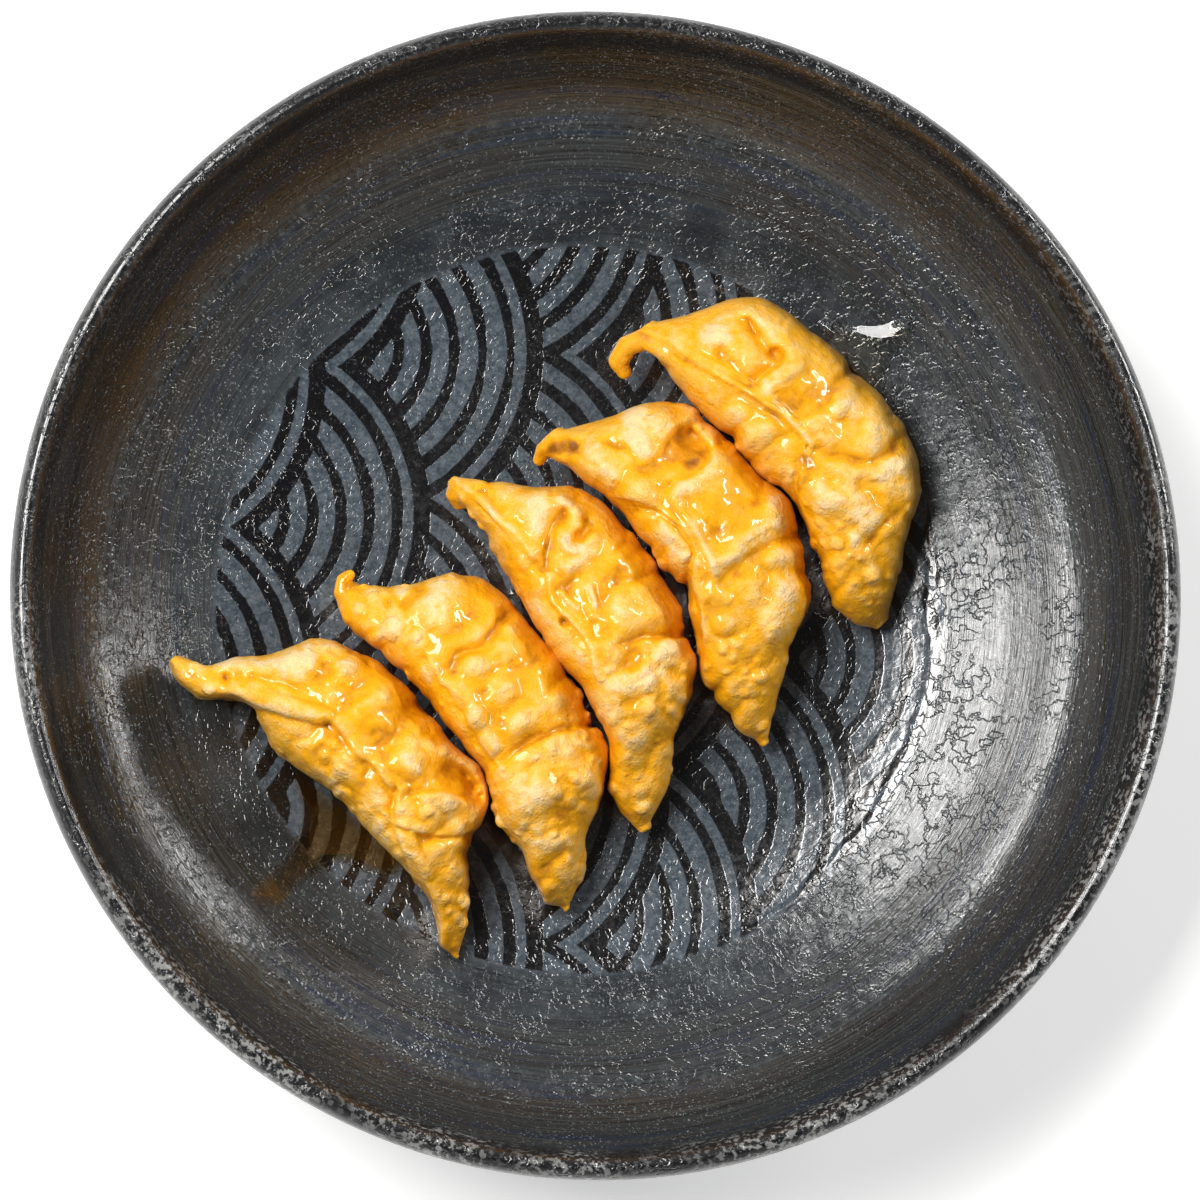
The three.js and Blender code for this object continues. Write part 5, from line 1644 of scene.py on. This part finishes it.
# %% [markdown]
# ## The look of fried dough
#
# The skin is dull and slightly see-through, and the oil on it gives sharp small highlights. The tone
# picks the colour from a ramp, with a fine mottle over it, and the wetness adds a glossy coat. Dry
# dough is also covered in blisters too small for the mesh, so a fine and a coarser bump stand for
# them there, and both fade out under the oil.

# %% Dough: tones and finest relief
DOUGH_COLOURS = [
    (0.0, (0.26, 0.09, 0.008)), (0.15, (0.56, 0.21, 0.004)), (0.3, (0.83, 0.37, 0.004)),
    (0.45, (0.90, 0.415, 0.006)), (0.6, (0.91, 0.465, 0.055)), (0.75, (0.88, 0.53, 0.14)),
    (0.95, (0.87, 0.62, 0.31)),
]


def colour_ramp(tree, value, stops):
    """A colour for each value, blended between (value, colour) stops."""
    ramp = add_node(tree, "ShaderNodeValToRGB", {"Fac": value})
    elements = ramp.color_ramp.elements
    for i, (at, colour) in enumerate(stops):
        element = elements[i] if i < 2 else elements.new(at)
        element.position = at
        element.color = (*colour, 1)
    return ramp.outputs["Color"]


def mottled(tree, tone, textures):
    """The tone, shifted up and down by each (texture, amount)."""
    for texture, amount in textures:
        shift = calc(tree, "MULTIPLY", calc(tree, "SUBTRACT", texture, 0.5), amount)
        tone = calc(tree, "ADD", tone, shift)
    return tone


def blistered(tree, local, fine, grain, dull):
    """Height of the skin's finest relief. Where it is dry it is covered in tiny blisters."""
    cells = add_node(tree, "ShaderNodeTexVoronoi", {"Vector": local, "Scale": 1.25})
    domes = calc(tree, "MULTIPLY", spread(tree, cells.outputs["Distance"], 0.62, 0.0), dull)
    larger = specks(tree, local, spacing=1.9, size=0.5, amount=0.7)
    larger = calc(tree, "MULTIPLY", larger, calc(tree, "MULTIPLY", dull, 0.4))
    height = calc(tree, "MULTIPLY", calc(tree, "MULTIPLY", grain, dull), 0.35)
    height = calc(tree, "ADD", height, calc(tree, "MULTIPLY", fine, 0.45))
    height = calc(tree, "ADD", height, calc(tree, "MULTIPLY", domes, 0.22))
    return calc(tree, "ADD", height, larger)


print("tones of dough:", len(DOUGH_COLOURS))

# %% Dough material
SEE_THROUGH = {"Weight": 0.25, "Radius": (1.0, 0.65, 0.3), "Scale": 0.0012}
DOUGH_GRAIN = 0.0006        # metres
MOTTLES = {"broad": 0.35, "blotch": 0.35, "grain": 0.12}


def dough_material():
    material, tree, shader, local = start_material("fried_dough")
    tone = add_node(tree, "ShaderNodeAttribute", attribute_name="tone").outputs["Fac"]
    wet = add_node(tree, "ShaderNodeAttribute", attribute_name="wet").outputs["Fac"]
    dull = calc(tree, "SUBTRACT", 1.2, wet)
    fine = noise(tree, local, 0.6, detail=4)
    grain = noise(tree, local, 2.2)
    mottle = calc(tree, "MULTIPLY", calc(tree, "SUBTRACT", fine, 0.5), calc(tree, "ADD", dull, 0.25))
    tone = calc(tree, "ADD", tone, calc(tree, "MULTIPLY", mottle, 0.5))
    broad = noise(tree, local, 0.16)
    blotch = noise(tree, local, 0.33, detail=2)
    tone = mottled(tree, tone, zip((broad, blotch, grain), MOTTLES.values()))
    tree.links.new(colour_ramp(tree, tone, DOUGH_COLOURS), shader.inputs["Base Color"])
    for name, value in SEE_THROUGH.items():
        shader.inputs["Subsurface " + name].default_value = value
    tree.links.new(spread(tree, wet, 0.1, 0.9, 0.5, 0.38), shader.inputs["Roughness"])
    shader.inputs["Specular IOR Level"].default_value = 0.22
    tree.links.new(spread(tree, wet, 0.1, 0.8, 0.04, 0.65), shader.inputs["Coat Weight"])
    shader.inputs["Coat Roughness"].default_value = 0.03
    shader.inputs["Coat IOR"].default_value = 1.6
    height = blistered(tree, local, fine, grain, dull)
    bump = add_node(tree, "ShaderNodeBump", {"Strength": 0.7, "Distance": DOUGH_GRAIN, "Height": height})
    tree.links.new(bump.outputs[0], shader.inputs["Normal"])
    return material


fried = dough_material()
for item in dough.values():
    item.data.materials.append(fried)
print("dough material has", len(fried.node_tree.nodes), "nodes")

# %% [markdown]
# ## Oil and sauce on the plate
#
# Frying oil runs off the first dumpling, and brown sauce has gathered below the last one. Each
# puddle is a thin closed lens. Its outline is a smooth line through a few points, and its top rises
# from the glaze to a nearly flat middle, so that it catches the light along its edge as liquid does.
# A thin film has no colour of its own, so each puddle is clear at its edge and tinted where deep.
# Painting it on the glaze would be simpler, but only a real lens bends the light and shines.

# %% Puddles
PUDDLES = {
    "oil_by_dumpling_1": {
        "middle": [60, 55], "high": 0.7, "edge": 4.0,
        "outline": [
            [47.5, 62.3], [55, 61.2], [62, 60.6], [68.8, 62.6], [70, 57.6], [66.2, 53.4], [64.6, 47.6],
            [63.6, 42.2], [58.6, 45.8], [52.6, 52.6],
        ],
    },
    "sauce_by_dumpling_5": {
        "middle": [-52, -50], "high": 0.3, "edge": 4.0,
        "outline": [
            [-63, -33], [-54, -40], [-45, -46.5], [-36.5, -53], [-39, -58], [-46, -58.6], [-52, -56.4],
            [-57.5, -58.6], [-65, -64.8], [-71.5, -65], [-72, -61], [-65.5, -53], [-62, -46],
            [-63.5, -39],
        ],
    },
    "oil_between_dumplings": {
        "middle": [-14.6, 1.4], "high": 0.6, "edge": 1.2,
        "outline": [[-16.6, 4.2], [-13.6, 2.6], [-11.6, -1.6], [-14.2, -0.6], [-17, 2]],
    },
}
UNDER_GLAZE = 0.45          # the lens reaches this far under the glaze, so that no gap shows
LENS_KEEL = 0.1             # and its underside a little further
PUDDLE_RINGS = 26


def lens_rings(middle, rim, high, edge):
    """Rings of points from the rim to the middle, over the top and then along the underside."""
    path = np.vstack([rim, rim[:1]])
    rings = []
    for under, lift in ((False, high + UNDER_GLAZE), (True, 0.0)):
        for share in np.linspace(1, 1 / PUDDLE_RINGS, PUDDLE_RINGS)[int(under):]:
            spots = np.array(middle) + share * (rim - middle)
            inward, _ = path_distance(path, spots[:, 0], spots[:, 1])
            rise = lift * smooth_step(inward, -0.2 * edge, edge) - UNDER_GLAZE
            if under:
                rise = -UNDER_GLAZE - LENS_KEEL
            level = between(INNER_FACE, np.hypot(spots[:, 0], spots[:, 1]))
            rings.append(np.column_stack([spots, level + rise]))
    return path, np.vstack(rings)


def lens_faces(count):
    """Faces between the rings of `count` points, which share the outermost ring."""
    top = list(range(PUDDLE_RINGS))
    under = [0, *range(PUDDLE_RINGS, 2 * PUDDLE_RINGS - 1)]
    faces = []
    for rings, flip in ((top, False), (under, True)):
        for outer, inner in zip(rings, rings[1:]):
            for i in range(count):
                j = (i + 1) % count
                quad = (outer * count + i, outer * count + j, inner * count + j, inner * count + i)
                faces.append(quad[::-1] if flip else quad)
        last = tuple(rings[-1] * count + i for i in range(count))
        faces.append(last[::-1] if flip else last)
    return faces


def puddle_mesh(name, middle, high, edge, outline):
    rim = round_line([*outline, outline[0]], 10)[:-1]
    path, points = lens_rings(middle, rim, high, edge)
    item = mesh_object(name, points * MM, lens_faces(len(rim)))
    item.data.shade_smooth()
    inward, _ = path_distance(path, points[:, 0], points[:, 1])
    store(item, "depth", smooth_step(inward, 0, edge))
    return item


print("puddles:", {name: shape["high"] for name, shape in PUDDLES.items()}, "mm deep")

# %% [markdown]
# ## Clear liquids
#
# Oil and sauce let light through, and the glaze below shows. A coat on the glaze could stand for the
# oil, but the lens refracts the waves under it, as a real puddle does.

# %% Liquids
OIL_COLOUR = (0.93, 0.85, 0.70)
SAUCE_COLOUR = (0.62, 0.36, 0.14)
CLEAR = (1, 1, 1)


def liquid_material(name, colour):
    """Liquid that is clear at its thin edge, and takes its colour where it is deep."""
    material, tree, shader, _ = start_material(name)
    depth = add_node(tree, "ShaderNodeAttribute", attribute_name="depth").outputs["Fac"]
    tree.links.new(blend_colour(tree, depth, CLEAR, colour), shader.inputs["Base Color"])
    shader.inputs["Roughness"].default_value = 0.03
    shader.inputs["Transmission Weight"].default_value = 1.0
    shader.inputs["IOR"].default_value = 1.45
    return material


oil = liquid_material("pan_oil", OIL_COLOUR)
sauce = liquid_material("brown_sauce", SAUCE_COLOUR)
puddles = []
for name, shape in PUDDLES.items():
    item = puddle_mesh(name, **shape)
    item.data.materials.append(sauce if name.startswith("sauce") else oil)
    puddles.append(item)
    print(name, len(item.data.polygons), "faces")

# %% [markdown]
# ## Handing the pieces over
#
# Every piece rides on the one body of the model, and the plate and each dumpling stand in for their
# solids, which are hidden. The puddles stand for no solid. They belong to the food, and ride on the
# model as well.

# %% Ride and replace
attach(plate, "root")
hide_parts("plate")
for name, item in dough.items():
    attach(item, "root")
    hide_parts(name)

for item in puddles:
    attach(item, "root")
